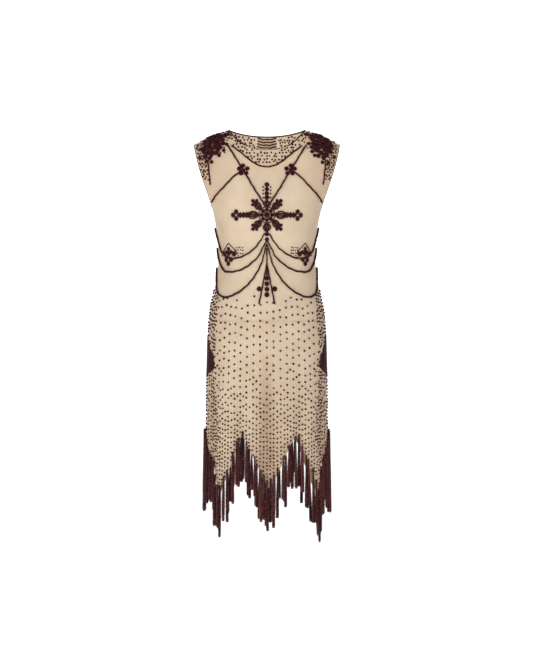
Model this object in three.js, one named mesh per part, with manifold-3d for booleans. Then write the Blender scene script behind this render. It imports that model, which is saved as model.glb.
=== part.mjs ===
// A sleeveless beaded evening dress of thin net, knee length, in the shape it has when it is worn.
// Front and back panels meet at the side seams and the shoulder seams. Neck, armholes and hem are open.
// The hem is cut in six points, and a beaded fringe hangs from it. Bead cords, rosettes and clusters lie on
// the net.
// Millimetres. +Z is up, +X is to the viewer's right, and the front faces -Y.
// The origin is on the centre line, level with the neck points of the shoulder seams, where a wearer's
// shoulders hold it.
import * as THREE from 'three';
import { mergeVertices } from 'three/addons/utils/BufferGeometryUtils.js';
import Module from 'manifold-3d';

const wasm = await Module();
wasm.setup();

// Neck, shoulders and armholes
const NECK_HALF = 104; // neck point from the centre line
const NECK_DROP = { front: 57, back: 15.5 }; // neckline below the neck points, at the centre
const NECK_CURVE = { front: 2.6, back: 2.2 }; // how squarely each neckline turns up at its ends
const SHOULDER_HALF = 197.5; // shoulder tip from the centre line
const SHOULDER_DROP = 39; // shoulder tip below the neck point
const SHOULDER_ROLL = 80; // height over which the cloth rounds over to the seam
const SHOULDER_ARC = 62; // cloth length for each radian of that rounding
const ARMHOLE_FOOT = -212; // level where the side seam ends under the arm
const WAIST_SEAM = -520; // level of the low seam between bodice and skirt
const ARMHOLE_REACH = { front: 45, back: 40 }; // the armhole's cut forward and back of the side

// Cloth, seams and what is sewn on
const WALL = 1.6;
const SEAM_GAP = 0.3;
const LIFT = 0.8; // bead work stands this far off the cloth
const CORD_WIDTH = 3.6;
const CORD_HEIGHT = 2.6;
const CORD_STEP = 11.6; // longest straight stretch of a bead cord
const EDGING_RADIUS = 1.5;

// How finely the panels are divided
const ROWS_SKIRT = 7; // from the hem up to the waist seam
const ROWS_BODICE = 5; // from the waist seam up to the armhole's foot
const ROWS_ABOVE = 9; // from the armhole's foot up to the shoulder or the neckline
const ROW_CROWDING = 1.3; // the skirt's rows crowd towards the waist seam
const FIRST_BODICE_ROW = ROWS_SKIRT + 1;
const FOOT_ROW = FIRST_BODICE_ROW + ROWS_BODICE;
const COLUMN_TURN = 6.6; // degrees between two of a panel's columns, more or less

const FRONT = 'front';
const BACK = 'back';
const SIDE_TURN = 90;
const HALF_TURN = 180;
const DEGREE = Math.PI / HALF_TURN;

// Half the width, and the depth of the front and the back from the side seam, at each level.
const GIRTH = [
  { z: -1120, half: 168, front: 123, back: 118 },
  { z: -1000, half: 167, front: 122, back: 117 },
  { z: -821, half: 164.5, front: 119, back: 114 },
  { z: -709, half: 163.5, front: 115, back: 111 },
  { z: -627, half: 161, front: 111, back: 109 },
  { z: -554, half: 159, front: 107, back: 106 },
  { z: -491, half: 154, front: 102, back: 98 },
  { z: -445, half: 145, front: 97, back: 88 },
  { z: -408, half: 138, front: 93, back: 80 },
  { z: -362, half: 132.5, front: 91, back: 75 },
  { z: -327, half: 132, front: 95, back: 76 },
  { z: -277, half: 136.5, front: 104, back: 82 },
  { z: -212, half: 149, front: 110, back: 89 },
  { z: -159, half: 166, front: 100, back: 89 },
  { z: -113, half: 181, front: 84, back: 86 },
  { z: -75, half: 191, front: 70, back: 80 },
  { z: -39, half: 197.5, front: 58, back: 70 },
  { z: 0, half: 199, front: 50, back: 50 },
];

// Turns of the hem's two high valleys, left and right of a panel's centre.
const VALLEYS = { front: [-24, 29], back: [-26, 26] };
// The hem's corners by turn from a panel's centre: the cloth's edge, and the lowest end of the fringe there.
// The front's points are uneven.
const HEM = {
  front: [
    { turn: -90, cloth: -824, fringe: -1034 },
    { turn: -63, cloth: -892, fringe: -990 },
    { turn: -48, cloth: -985, fringe: -1104 },
    { turn: VALLEYS.front[0], cloth: -826, fringe: -945 },
    { turn: 2, cloth: -968, fringe: -1086 },
    { turn: VALLEYS.front[1], cloth: -826, fringe: -950 },
    { turn: 55, cloth: -985, fringe: -1108 },
    { turn: 68, cloth: -892, fringe: -1018 },
    { turn: 90, cloth: -824, fringe: -1036 },
  ],
  back: [
    { turn: -90, cloth: -824, fringe: -1035 },
    { turn: -65, cloth: -892, fringe: -1004 },
    { turn: -51, cloth: -985, fringe: -1104 },
    { turn: VALLEYS.back[0], cloth: -826, fringe: -950 },
    { turn: 0, cloth: -965, fringe: -1084 },
    { turn: VALLEYS.back[1], cloth: -826, fringe: -950 },
    { turn: 51, cloth: -985, fringe: -1104 },
    { turn: 65, cloth: -892, fringe: -1004 },
    { turn: 90, cloth: -824, fringe: -1035 },
  ],
};
const HEM_ROUNDING = 0.35; // share by which the hem's straight flanks are eased at its points

// Soft vertical folds: where round the body, half their width in degrees, how far out (+) or in (-),
// and the levels between which they show.
const FOLDS = [
  { angle: 0, spread: 7, out: -6.5, top: -560, foot: -1300 },
  { angle: 14, spread: 6, out: 3.5, top: -600, foot: -1300 },
  { angle: -15, spread: 6, out: 3.5, top: -580, foot: -1300 },
  { angle: 31, spread: 6, out: -4.5, top: -620, foot: -1300 },
  { angle: -29, spread: 6, out: -4, top: -640, foot: -1300 },
  { angle: 47, spread: 7, out: 4, top: -600, foot: -1300 },
  { angle: -46, spread: 7, out: 3.5, top: -580, foot: -1300 },
  { angle: 66, spread: 7, out: -4.5, top: -560, foot: -1300 },
  { angle: -65, spread: 7, out: -4, top: -590, foot: -1300 },
  { angle: 109, spread: 7, out: -4, top: -580, foot: -1300 },
  { angle: -111, spread: 7, out: -4.5, top: -560, foot: -1300 },
  { angle: 127, spread: 6, out: 3.5, top: -600, foot: -1300 },
  { angle: -129, spread: 6, out: 4, top: -620, foot: -1300 },
  { angle: 145, spread: 7, out: -5, top: -560, foot: -1300 },
  { angle: -147, spread: 6, out: -4, top: -600, foot: -1300 },
  { angle: 164, spread: 6, out: 3.5, top: -600, foot: -1300 },
  { angle: -163, spread: 6, out: 3, top: -580, foot: -1300 },
  { angle: 180, spread: 7, out: -5.5, top: -560, foot: -1300 },
  { angle: 60, spread: 8, out: -2.5, top: -200, foot: -470 },
  { angle: -62, spread: 8, out: -2.5, top: -210, foot: -460 },
  { angle: 120, spread: 9, out: -2.5, top: -200, foot: -480 },
  { angle: -118, spread: 9, out: -2.5, top: -210, foot: -470 },
];
const FOLD_GROWTH = 170; // height over which a fold comes and goes

// Cords on the front. across is the distance from the centre as a share of the half width at that level.
const YOKE_LINE = [
  { across: 0.485, z: -45 },
  { across: 0.36, z: -65 },
  { across: 0.2, z: -91 },
  { across: 0.09, z: -101.5 },
  { across: 0, z: -104 },
];
const SHOULDER_CORD = [
  { across: 0.54, z: -43 },
  { across: 0.475, z: -67 },
  { across: 0.42, z: -88 },
  { across: 0.35, z: -112 },
];
const STAR_CORD = [
  { across: 0.35, z: -112 },
  { across: 0.23, z: -156 },
  { across: 0.1, z: -192 },
  { across: 0.058, z: -202 },
];
const UNDERARM_CORD = [
  { across: 0.35, z: -112 },
  { across: 0.5, z: -129 },
  { across: 0.72, z: -161 },
  { across: 0.965, z: -197 },
];
const FESTOONS = {
  upper: [
    { across: 0, z: -281 },
    { across: 0.06, z: -287 },
    { across: 0.136, z: -304 },
    { across: 0.29, z: -328 },
    { across: 0.52, z: -346 },
    { across: 0.74, z: -349 },
    { across: 0.92, z: -332 },
    { across: 0.995, z: -277 },
  ],
  middle: [
    { across: 0, z: -303 },
    { across: 0.05, z: -313 },
    { across: 0.11, z: -328 },
    { across: 0.19, z: -348 },
    { across: 0.43, z: -375 },
    { across: 0.66, z: -386 },
    { across: 0.87, z: -381 },
    { across: 0.995, z: -330 },
  ],
  lower: [
    { across: 0, z: -312 },
    { across: 0.04, z: -328 },
    { across: 0.106, z: -362 },
    { across: 0.233, z: -397 },
    { across: 0.38, z: -424 },
    { across: 0.56, z: -445 },
    { across: 0.76, z: -455 },
    { across: 0.92, z: -440 },
    { across: 0.995, z: -385 },
  ],
};
const BACK_FESTOONS = {
  upper: [
    { across: 0.995, z: -277 },
    { across: 0.8, z: -312 },
    { across: 0.45, z: -334 },
    { across: 0, z: -342 },
  ],
  middle: [
    { across: 0.995, z: -330 },
    { across: 0.8, z: -366 },
    { across: 0.45, z: -388 },
    { across: 0, z: -396 },
  ],
  lower: [
    { across: 0.995, z: -385 },
    { across: 0.8, z: -424 },
    { across: 0.45, z: -448 },
    { across: 0, z: -457 },
  ],
};
const DROP_STEM = [
  { across: 0, z: -323 },
  { across: 0, z: -406 },
];
const DROP_LEG = [
  { across: 0, z: -364 },
  { across: 0.065, z: -412 },
  { across: 0.143, z: -475 },
];

// Large beads
const BEAD = { sides: 6, width: 5.6, height: 3.4, crown: 0.6 };
const STAR_CENTRE = -234; // level of the breast star
const STAR_ARMS = [
  { tilt: 0, reach: 84, tipSpread: [-60, 0, 60] },
  { tilt: 45, reach: 46, tipSpread: [] },
  { tilt: 90, reach: 36, tipSpread: [] },
];
const ROSETTE_RING = 8.4; // radius of a rosette's ring of beads
const ROSETTE_BEADS = 5;
const CHEST_ROSETTE = { across: 0.35, z: -112 };
const WAIST_ROSETTE = { across: 0.78, z: -334 };
const FINIAL = { top: -152.5, bottom: -187, beads: 4 };
const DROP = { top: -404, bottom: -449, beads: 4, arm: 20, armLevel: -434 };

// Bead clusters over the shoulders, and leaf shaped bead work on the hips.
const CLUSTER = {
  front: { near: 12, far: 88, middle: 149, half: 34 },
  back: { near: 8, far: 56, middle: 148, half: 31 },
};
const CLUSTER_GRID = { rows: 8, columns: 8 };
const CLUSTER_HEIGHTS = { base: 1.9, low: 3.6, high: 7.6 }; // above the sharply curved cloth
const LEAF = { top: -548, widest: -640, bottom: -672, half: 30 };
const LEAF_GRID = { rows: 10, columns: 10 };
const LEAF_HEIGHTS = { base: 2.6, low: 3.8, high: 5.4 };

// Fringe
const STRANDS_PER_POINT = 16;
const STRAND_WIDTH = 8.4;
const STRAND_DEPTH = 4.8;
const STRAND_TIP = 0.55; // a strand's end as a share of its width
const STRAND_UNEVEN = [0, 16, -9, 22, 5, -14, 12, -5, 18, -11]; // mm, repeated round the hem
const STRIP = { above: 8, below: 1.5, thickness: 1.5 }; // the strip on the cloth's edge

const COLOURS = { net: 0xdcc4a2, beads: 0x35171a, edging: 0x4a2526 };

const lerp = THREE.MathUtils.lerp;
const sign = (side) => (side === FRONT ? -1 : 1);

// A smooth step from 0 to 1 as t goes from 0 to 1.
const ease = (t) => THREE.MathUtils.smoothstep(t, 0, 1);

// Slopes for a smooth curve through a table's column that never overshoots between two rows.
function slopesOf(table, column) {
  const runs = table.slice(1).map((row, i) => row.z - table[i].z);
  const rises = table.slice(1).map((row, i) => (row[column] - table[i][column]) / runs[i]);
  return table.map((_, i) => {
    if (i === 0) return rises[0];
    if (i === rises.length) return rises[i - 1];
    const [before, after] = [rises[i - 1], rises[i]];
    return before * after <= 0 ? 0 : (2 * before * after) / (before + after);
  });
}

const SLOPES = Object.fromEntries(['half', FRONT, BACK].map((column) => [column, slopesOf(GIRTH, column)]));

// A girth column at level z.
function girth(column, z) {
  const level = THREE.MathUtils.clamp(z, GIRTH[0].z, GIRTH.at(-1).z);
  const i = Math.max(GIRTH.findIndex((row) => row.z >= level), 1) - 1;
  const [low, high] = [GIRTH[i], GIRTH[i + 1]];
  const run = high.z - low.z;
  const t = (level - low.z) / run;
  const [slopeLow, slopeHigh] = [SLOPES[column][i], SLOPES[column][i + 1]];
  const bend = (2 * t - 3) * t * t;
  return low[column] * (1 + bend) - high[column] * bend
    + run * t * (1 - t) * (slopeLow * (1 - t) - slopeHigh * t);
}

// Level of the shoulder seam at a distance x from the centre line.
function shoulderLine(x) {
  const rise = (x * x - NECK_HALF ** 2) / (SHOULDER_HALF ** 2 - NECK_HALF ** 2);
  return -SHOULDER_DROP * rise;
}

// Level of a panel's neckline at a distance x from the centre line.
function neckline(side, x) {
  const share = Math.min(Math.abs(x) / NECK_HALF, 1);
  return -NECK_DROP[side] * (1 - share ** NECK_CURVE[side]);
}

// Share of a panel's full depth at a height below the shoulder seam, a quarter of a round.
function roll(height) {
  const left = 1 - THREE.MathUtils.clamp(height / SHOULDER_ROLL, 0, 1);
  return Math.sqrt(1 - left * left);
}

// How far round its ellipse a panel reaches, in radians: a quarter turn below the armhole, less beside it.
function reachOf(side, z) {
  if (z <= ARMHOLE_FOOT) return Math.PI / 2;
  const level = Math.min(z, -SHOULDER_DROP - 1);
  const line = shoulderLine(girth('half', level));
  const up = (level - ARMHOLE_FOOT) / (line - ARMHOLE_FOOT);
  const edge = 2 * ARMHOLE_REACH[side] * Math.sqrt(up * (1 - up));
  return Math.acos(edge / (girth(side, level) * roll(line - level)));
}

// How far a fold moves the cloth out at this place.
function foldAt(angle, z) {
  return FOLDS.reduce((out, fold) => {
    const apart = Math.abs(angle - fold.angle);
    const turn = Math.min(apart, 2 * HALF_TURN - apart) / fold.spread;
    const shown = ease((fold.top - z) / FOLD_GROWTH) * ease((z - fold.foot) / FOLD_GROWTH);
    return out + fold.out * shown * Math.exp(-turn * turn);
  }, 0);
}

// The panel and the turn from its centre for an angle round the body, 0 at the centre front, 90 at the right.
function placeOf(angle) {
  const back = Math.abs(angle) > SIDE_TURN;
  const turn = back ? Math.sign(angle) * (HALF_TURN - Math.abs(angle)) : angle;
  return { side: back ? BACK : FRONT, turn };
}

// The angle round the body for a turn from a panel's centre.
function angleOf(side, turn) {
  return side === FRONT ? turn : (Math.sign(turn) || 1) * (HALF_TURN - Math.abs(turn));
}

// Turn from a panel's centre for a share of the half width at level z.
function turnOf(side, across, z) {
  const reach = reachOf(side, z);
  return (Math.asin(across * Math.sin(reach)) / reach) * SIDE_TURN;
}

// A point of the cloth's outer face on one panel.
function clothPoint(side, turn, z) {
  const reach = reachOf(side, z);
  const phi = (turn / SIDE_TURN) * reach;
  const half = girth('half', z);
  const depth = girth(side, z);
  const x = (half * Math.sin(phi)) / Math.sin(reach);
  const y = sign(side) * depth * Math.cos(phi) * roll(shoulderLine(x) - z);
  const out = new THREE.Vector2(Math.sin(phi) * depth, sign(side) * Math.cos(phi) * half).normalize();
  const fold = foldAt(angleOf(side, turn), z);
  return new THREE.Vector3(x + out.x * fold, y + out.y * fold, z);
}

// The cloth's outward direction there, by small steps across and up.
function clothNormal(side, turn, z) {
  const step = 0.4;
  const across = clothPoint(side, turn + step, z).sub(clothPoint(side, turn - step, z));
  const up = clothPoint(side, turn, z + step).sub(clothPoint(side, turn, z - step));
  return across.cross(up).multiplyScalar(-sign(side)).normalize();
}

// Direction straight up from the shoulder seam, for the seam's own points.
function seamNormal(x) {
  const slope = (-2 * SHOULDER_DROP * x) / (SHOULDER_HALF ** 2 - NECK_HALF ** 2);
  return new THREE.Vector3(-slope, 0, 1).normalize();
}

// Level of the cloth's lower edge, or of the fringe's ends, by turn from a panel's centre.
function hemLevel(side, column, turn) {
  const at = THREE.MathUtils.clamp(turn, -SIDE_TURN, SIDE_TURN);
  const i = Math.max(HEM[side].findIndex((row) => row.turn >= at), 1);
  const [before, after] = [HEM[side][i - 1], HEM[side][i]];
  const t = (at - before.turn) / (after.turn - before.turn);
  return lerp(before[column], after[column], lerp(t, ease(t), HEM_ROUNDING));
}

// Turn of the column that ends at the neck point.
function neckTurn(side) {
  return turnOf(side, NECK_HALF / girth('half', 0), 0);
}

// Level of a panel's top edge on a column, found by halving.
function topLevel(side, turn) {
  let [low, high] = [ARMHOLE_FOOT, 0];
  for (let i = 0; i < 40; i++) {
    const z = (low + high) / 2;
    const x = Math.abs(clothPoint(side, turn, z).x);
    const edge = x < NECK_HALF ? neckline(side, x) : shoulderLine(x);
    if (z < edge) low = z;
    else high = z;
  }
  return low;
}

// Turns of a panel's columns from one side to the other, with one at each corner of the hem and the neck.
function panelTurns(side) {
  const neck = neckTurn(side);
  const marks = [...HEM[side].map((row) => row.turn), -neck, neck].sort((a, b) => a - b);
  const turns = marks.slice(1).flatMap((mark, i) => {
    const count = Math.max(1, Math.round((mark - marks[i]) / COLUMN_TURN));
    return Array.from({ length: count }, (_, k) => lerp(marks[i], mark, k / count));
  });
  return [...turns, SIDE_TURN];
}

// One side of the dress as columns of points from the hem to the top edge, with the cloth's inner face
// beneath them. Its skirt ends at the waist seam and its bodice begins there.
function makePanel(side) {
  const seamShift = sign(side) * (SEAM_GAP / 2);
  const neckPoint = neckTurn(side);
  const columns = panelTurns(side).map((turn) => {
    const atSide = Math.abs(turn) === SIDE_TURN;
    const onShoulder = Math.abs(turn) > neckPoint - 1e-6;
    const hem = hemLevel(side, 'cloth', turn);
    const top = topLevel(side, turn);
    const skirt = Array.from({ length: ROWS_SKIRT + 1 }, (_, j) =>
      lerp(WAIST_SEAM - SEAM_GAP / 2, hem, (1 - j / ROWS_SKIRT) ** ROW_CROWDING));
    const bodice = Array.from({ length: ROWS_BODICE }, (_, j) =>
      lerp(WAIST_SEAM + SEAM_GAP / 2, ARMHOLE_FOOT, j / ROWS_BODICE));
    const above = Array.from({ length: ROWS_ABOVE + 1 }, (_, j) =>
      lerp(ARMHOLE_FOOT, top, (1 - Math.cos((Math.PI * j) / ROWS_ABOVE)) / 2));
    const points = [...skirt, ...bodice, ...above].map((z, j, all) => {
      const last = j === all.length - 1;
      const outer = clothPoint(side, turn, z);
      let normal = last && onShoulder ? seamNormal(outer.x) : clothNormal(side, turn, z);
      if (atSide && z <= ARMHOLE_FOOT) normal = normal.setY(0).normalize();
      if ((atSide && z <= ARMHOLE_FOOT) || (last && onShoulder)) outer.y = 0;
      outer.y += seamShift;
      return { outer, inner: outer.clone().addScaledVector(normal, -WALL), normal };
    });
    return { turn, points };
  });
  return { side, columns };
}

const PANELS = { front: makePanel(FRONT), back: makePanel(BACK) };

// The point of a column at level z, on the straight lines between its own points.
function onColumn(column, side, z) {
  const { points, turn } = column;
  const j = points.findIndex((point) => point.outer.z >= z);
  if (j <= 0) return clothPoint(side, turn, z).add(new THREE.Vector3(0, (sign(side) * SEAM_GAP) / 2, 0));
  const [low, high] = [points[j - 1].outer, points[j].outer];
  return low.clone().lerp(high, (z - low.z) / (high.z - low.z));
}

// A point on the panel's own flat faces, moved out by a distance.
function onCloth(side, turn, z, out) {
  const { columns } = PANELS[side];
  const bounded = THREE.MathUtils.clamp(turn, -SIDE_TURN, SIDE_TURN);
  const i = Math.max(columns.findIndex((column) => column.turn >= bounded), 1) - 1;
  const [left, right] = [columns[i], columns[i + 1]];
  const share = (bounded - left.turn) / (right.turn - left.turn);
  const point = onColumn(left, side, z).lerp(onColumn(right, side, z), share);
  return point.addScaledVector(clothNormal(side, bounded, z), out);
}

// A closed solid from the rings or rows of an outer and an inner grid of points of the same size.
function wall(outer, inner) {
  const rows = outer.length;
  const columns = outer[0].length;
  const positions = [...outer.flat(), ...inner.flat()].flatMap((p) => [p.x, p.y, p.z]);
  const index = [];
  const at = (layer, j, i) => layer * rows * columns + j * columns + i;
  const quad = (a, b, c, d) => index.push(a, b, c, a, c, d);
  for (let j = 0; j < rows - 1; j++) {
    for (let i = 0; i < columns - 1; i++) {
      quad(at(0, j, i), at(0, j, i + 1), at(0, j + 1, i + 1), at(0, j + 1, i));
      quad(at(1, j, i), at(1, j + 1, i), at(1, j + 1, i + 1), at(1, j, i + 1));
    }
    quad(at(0, j, 0), at(0, j + 1, 0), at(1, j + 1, 0), at(1, j, 0));
    quad(at(0, j + 1, columns - 1), at(0, j, columns - 1), at(1, j, columns - 1), at(1, j + 1, columns - 1));
  }
  for (let i = 0; i < columns - 1; i++) {
    quad(at(0, 0, i + 1), at(0, 0, i), at(1, 0, i), at(1, 0, i + 1));
    quad(at(0, rows - 1, i), at(0, rows - 1, i + 1), at(1, rows - 1, i + 1), at(1, rows - 1, i));
  }
  return facingOut(positions, index);
}

// A closed solid from a row of rings of points: joined end to end, or capped at both ends.
function loft(rings, closed) {
  const sides = rings[0].length;
  const count = rings.length;
  const positions = rings.flat().flatMap((p) => [p.x, p.y, p.z]);
  const index = [];
  for (let j = 0; j < (closed ? count : count - 1); j++) {
    const next = (j + 1) % count;
    for (let i = 0; i < sides; i++) {
      const k = (i + 1) % sides;
      index.push(j * sides + i, j * sides + k, next * sides + k);
      index.push(j * sides + i, next * sides + k, next * sides + i);
    }
  }
  if (!closed) {
    for (let i = 1; i < sides - 1; i++) {
      index.push(0, i + 1, i);
      index.push((count - 1) * sides, (count - 1) * sides + i, (count - 1) * sides + i + 1);
    }
  }
  return facingOut(positions, index);
}

// Geometry from positions and triangles, turned round if its volume comes out negative.
function facingOut(positions, index) {
  let volume = 0;
  const corner = (k) => new THREE.Vector3().fromArray(positions, index[k] * 3);
  for (let t = 0; t < index.length; t += 3) volume += corner(t).dot(corner(t + 1).cross(corner(t + 2)));
  const turned = volume > 0 ? index : index.slice().reverse();
  const geometry = new THREE.BufferGeometry();
  geometry.setAttribute('position', new THREE.Float32BufferAttribute(positions, 3));
  geometry.setIndex(turned);
  return geometry;
}

function solidOf(geometry) {
  const merged = mergeVertices(geometry, 1e-4);
  return new wasm.Manifold(new wasm.Mesh({
    numProp: 3,
    vertProperties: merged.attributes.position.array,
    triVerts: new Uint32Array(merged.index.array),
  }));
}

// One geometry from several overlapping ones.
function joined(geometries) {
  const whole = geometries.map(solidOf).reduce((sum, solid) => sum.add(solid));
  const mesh = whole.getMesh();
  const geometry = new THREE.BufferGeometry();
  geometry.setAttribute('position', new THREE.Float32BufferAttribute(mesh.vertProperties, 3));
  geometry.setIndex(Array.from(mesh.triVerts));
  return geometry;
}

// A route on one panel: a smooth curve through a table's rows, as even steps of turn and level.
function route(side, rows, hand) {
  const scale = girth('half', -400) * DEGREE; // roughly one millimetre of cloth for each unit of turn
  const flat = rows.map(({ across, z }) =>
    new THREE.Vector2(hand * turnOf(side, across, z) * scale, z));
  const curve = new THREE.SplineCurve(flat);
  const count = Math.max(2, Math.ceil(curve.getLength() / CORD_STEP));
  return curve.getSpacedPoints(count).map((p) => ({ turn: p.x / scale, z: p.y }));
}

// A route mirrored about the centre line and joined there.
function mirroredRoute(side, rows) {
  const right = route(side, rows, 1);
  const fromCentre = Math.abs(right[0].turn) < 1e-6 ? right : right.reverse();
  const left = fromCentre.slice(1).reverse().map(({ turn, z }) => ({ turn: -turn, z }));
  return [...left, ...fromCentre];
}

// A bead cord lying on a panel along a route: a low four sided section.
function cord(side, steps, width = CORD_WIDTH, height = CORD_HEIGHT) {
  const base = steps.map(({ turn, z }) => onCloth(side, turn, z, LIFT));
  const rings = base.map((point, i) => {
    const along = base[Math.min(i + 1, base.length - 1)].clone().sub(base[Math.max(i - 1, 0)]).normalize();
    const out = clothNormal(side, steps[i].turn, steps[i].z);
    const across = along.clone().cross(out).normalize();
    const corner = (a, o) => point.clone()
      .addScaledVector(across, a * width).addScaledVector(out, o * height);
    return [corner(-0.5, 0), corner(0.5, 0), corner(0.3, 1), corner(-0.3, 1)];
  });
  return loft(rings, false);
}

// A large bead standing on a panel: a low round with a narrower crown.
function bead(side, turn, z, size) {
  const centre = onCloth(side, turn, z, LIFT);
  const out = clothNormal(side, turn, z);
  const across = new THREE.Vector3(0, 0, 1).cross(out).normalize();
  const up = out.clone().cross(across);
  const ring = (radius, height) => Array.from({ length: size.sides }, (_, i) => {
    const a = (2 * Math.PI * (i + 0.5)) / size.sides;
    return centre.clone().addScaledVector(across, radius * Math.cos(a))
      .addScaledVector(up, radius * Math.sin(a)).addScaledVector(out, height);
  });
  return loft([ring(size.width, 0), ring(size.width * size.crown, size.height)], false);
}

// The place on a panel at a distance in millimetres across and up from another.
function beside(side, place, dx, dz) {
  const z = place.z + dz;
  const turn = turnOf(side, place.across, z);
  const perDegree = clothPoint(side, turn + 0.5, z).distanceTo(clothPoint(side, turn - 0.5, z));
  return { turn: turn + dx / perDegree, z };
}

function beadBeside(side, place, dx, dz, size) {
  const { turn, z } = beside(side, place, dx, dz);
  return bead(side, turn, z, size);
}

// A ring of beads round a middle one.
function rosette(side, place, hand) {
  const at = { across: hand * place.across, z: place.z };
  const ring = Array.from({ length: ROSETTE_BEADS }, (_, i) => {
    const a = Math.PI / 2 + (2 * Math.PI * i) / ROSETTE_BEADS;
    return beadBeside(side, at, ROSETTE_RING * Math.cos(a), ROSETTE_RING * Math.sin(a), BEAD);
  });
  return [beadBeside(side, at, 0, 0, BEAD), ...ring];
}

// The breast star: eight arms of cord from the centre, each with beads at its tip.
function breastStar() {
  const centre = { across: 0, z: STAR_CENTRE };
  const pieces = [bead(FRONT, 0, STAR_CENTRE, BEAD)];
  for (const arm of STAR_ARMS) {
    const tilts = [arm.tilt, HALF_TURN - arm.tilt, -arm.tilt, HALF_TURN + arm.tilt];
    for (const tilt of new Set(tilts.map((t) => (t + 2 * HALF_TURN) % (2 * HALF_TURN)))) {
      const [dx, dz] = [Math.cos(tilt * DEGREE), Math.sin(tilt * DEGREE)];
      const stretches = Math.ceil(arm.reach / CORD_STEP);
      const steps = Array.from({ length: stretches + 1 }, (_, i) => {
        const r = (arm.reach * i) / stretches;
        return beside(FRONT, centre, r * dx, r * dz);
      });
      pieces.push(cord(FRONT, steps));
      pieces.push(beadBeside(FRONT, centre, arm.reach * dx, arm.reach * dz, BEAD));
      for (const spread of arm.tipSpread) {
        const a = (tilt + spread) * DEGREE;
        const tipX = arm.reach * dx + ROSETTE_RING * Math.cos(a);
        const tipZ = arm.reach * dz + ROSETTE_RING * Math.sin(a);
        pieces.push(beadBeside(FRONT, centre, tipX, tipZ, BEAD));
      }
    }
  }
  return joined(pieces);
}

// A short cord down the centre front with beads along it.
function beadedStem(top, bottom, count) {
  const steps = [top, (top + bottom) / 2, bottom].map((z) => ({ turn: 0, z }));
  const beads = Array.from({ length: count }, (_, i) =>
    bead(FRONT, 0, lerp(top, bottom, i / (count - 1)), BEAD));
  return [cord(FRONT, steps), ...beads];
}

// The hanging drop below the festoons: a stem, two spread legs and a small cross of beads.
function centreDrop() {
  const legs = [1, -1].map((hand) => cord(FRONT, route(FRONT, DROP_LEG, hand)));
  const place = { across: 0, z: DROP.armLevel };
  const reaches = [-DROP.arm, 0, DROP.arm];
  const arms = reaches.filter(Boolean).map((dx) => beadBeside(FRONT, place, dx, 0, BEAD));
  const crossbar = cord(FRONT, reaches.map((dx) => beside(FRONT, place, dx, 0)));
  const stem = cord(FRONT, route(FRONT, DROP_STEM, 1));
  return joined([stem, crossbar, ...legs, ...arms, ...beadedStem(DROP.top, DROP.bottom, DROP.beads)]);
}

// The cords over one side of the chest, which meet in a rosette.
function chestCords(hand) {
  const tables = [SHOULDER_CORD, STAR_CORD, UNDERARM_CORD];
  const cords = tables.map((rows) => cord(FRONT, route(FRONT, rows, hand)));
  return joined([...cords, ...rosette(FRONT, CHEST_ROSETTE, hand)]);
}

// The upper festoon, with a rosette on each of its two swags.
function upperFestoon() {
  const swags = cord(FRONT, mirroredRoute(FRONT, FESTOONS.upper));
  return joined([swags, ...rosette(FRONT, WAIST_ROSETTE, 1), ...rosette(FRONT, WAIST_ROSETTE, -1)]);
}

// A patch of dense bead work on the cloth, its outer points raised and lowered in turn.
function patch(grid, heights, place) {
  const rows = Array.from({ length: grid.rows + 1 }, (_, j) =>
    Array.from({ length: grid.columns + 1 }, (_, i) => place(j / grid.rows, (2 * i) / grid.columns - 1)));
  const at = (height) => rows.map((row, j) =>
    row.map(({ side, turn, z }, i) => onCloth(side, turn, z, height(j, i))));
  const raised = (j, i) => {
    const rim = j === 0 || i === 0 || j === grid.rows || i === grid.columns;
    return !rim && (i + j) % 2 ? heights.high : heights.low;
  };
  return wall(at(raised), at(() => heights.base));
}

// Level of a place on the shoulder at a distance along the cloth from the seam.
function belowSeam(x, distance) {
  const turned = Math.min(distance / SHOULDER_ARC, Math.PI / 2);
  const past = Math.max(distance - (SHOULDER_ARC * Math.PI) / 2, 0);
  return shoulderLine(x) - SHOULDER_ROLL * (1 - Math.cos(turned)) - past;
}

// A rounded cluster of beads on one side of a shoulder seam.
function shoulderCluster(side, hand) {
  const { near, far, middle, half } = CLUSTER[side];
  return patch(CLUSTER_GRID, CLUSTER_HEIGHTS, (v, u) => {
    const width = half * (0.72 + 0.28 * Math.sin(Math.PI * (0.15 + 0.7 * v)));
    const x = middle + u * width;
    const z = belowSeam(x, lerp(near, far, v) - 8 * v * u * u);
    return { side, turn: turnOf(side, (hand * x) / girth('half', z), z), z };
  });
}

// Leaf shaped bead work over a side seam, half on each panel.
function hipLeaf(hand) {
  return patch(LEAF_GRID, LEAF_HEIGHTS, (v, u) => {
    const z = lerp(LEAF.top, LEAF.bottom, v);
    const down = z > LEAF.widest
      ? (LEAF.top - z) / (LEAF.top - LEAF.widest)
      : (z - LEAF.bottom) / (LEAF.widest - LEAF.bottom);
    const half = LEAF.half * Math.max(Math.sin((down * Math.PI) / 2), 0.05);
    const angle = hand * (SIDE_TURN - u * half);
    return { ...placeOf(angle), z };
  });
}

// A closed ring of edging that follows the free edges of both panels.
function edging(points) {
  const count = points.length;
  const rings = points.map(({ outer, inner, normal, away }, i) => {
    const before = points[(i + count - 1) % count].outer;
    const after = points[(i + 1) % count].outer;
    const along = after.clone().sub(before).normalize();
    const outward = along.clone().cross(normal).normalize();
    if (outward.dot(away) < 0) outward.negate();
    const centre = outer.clone().lerp(inner, 0.5).addScaledVector(outward, LIFT + EDGING_RADIUS);
    const across = outward.clone().cross(along).normalize();
    return [[1, 0], [0, 1], [-1, 0], [0, -1]].map(([o, a]) => centre.clone()
      .addScaledVector(outward, o * EDGING_RADIUS).addScaledVector(across, a * EDGING_RADIUS));
  });
  return loft(rings, true);
}

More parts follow.
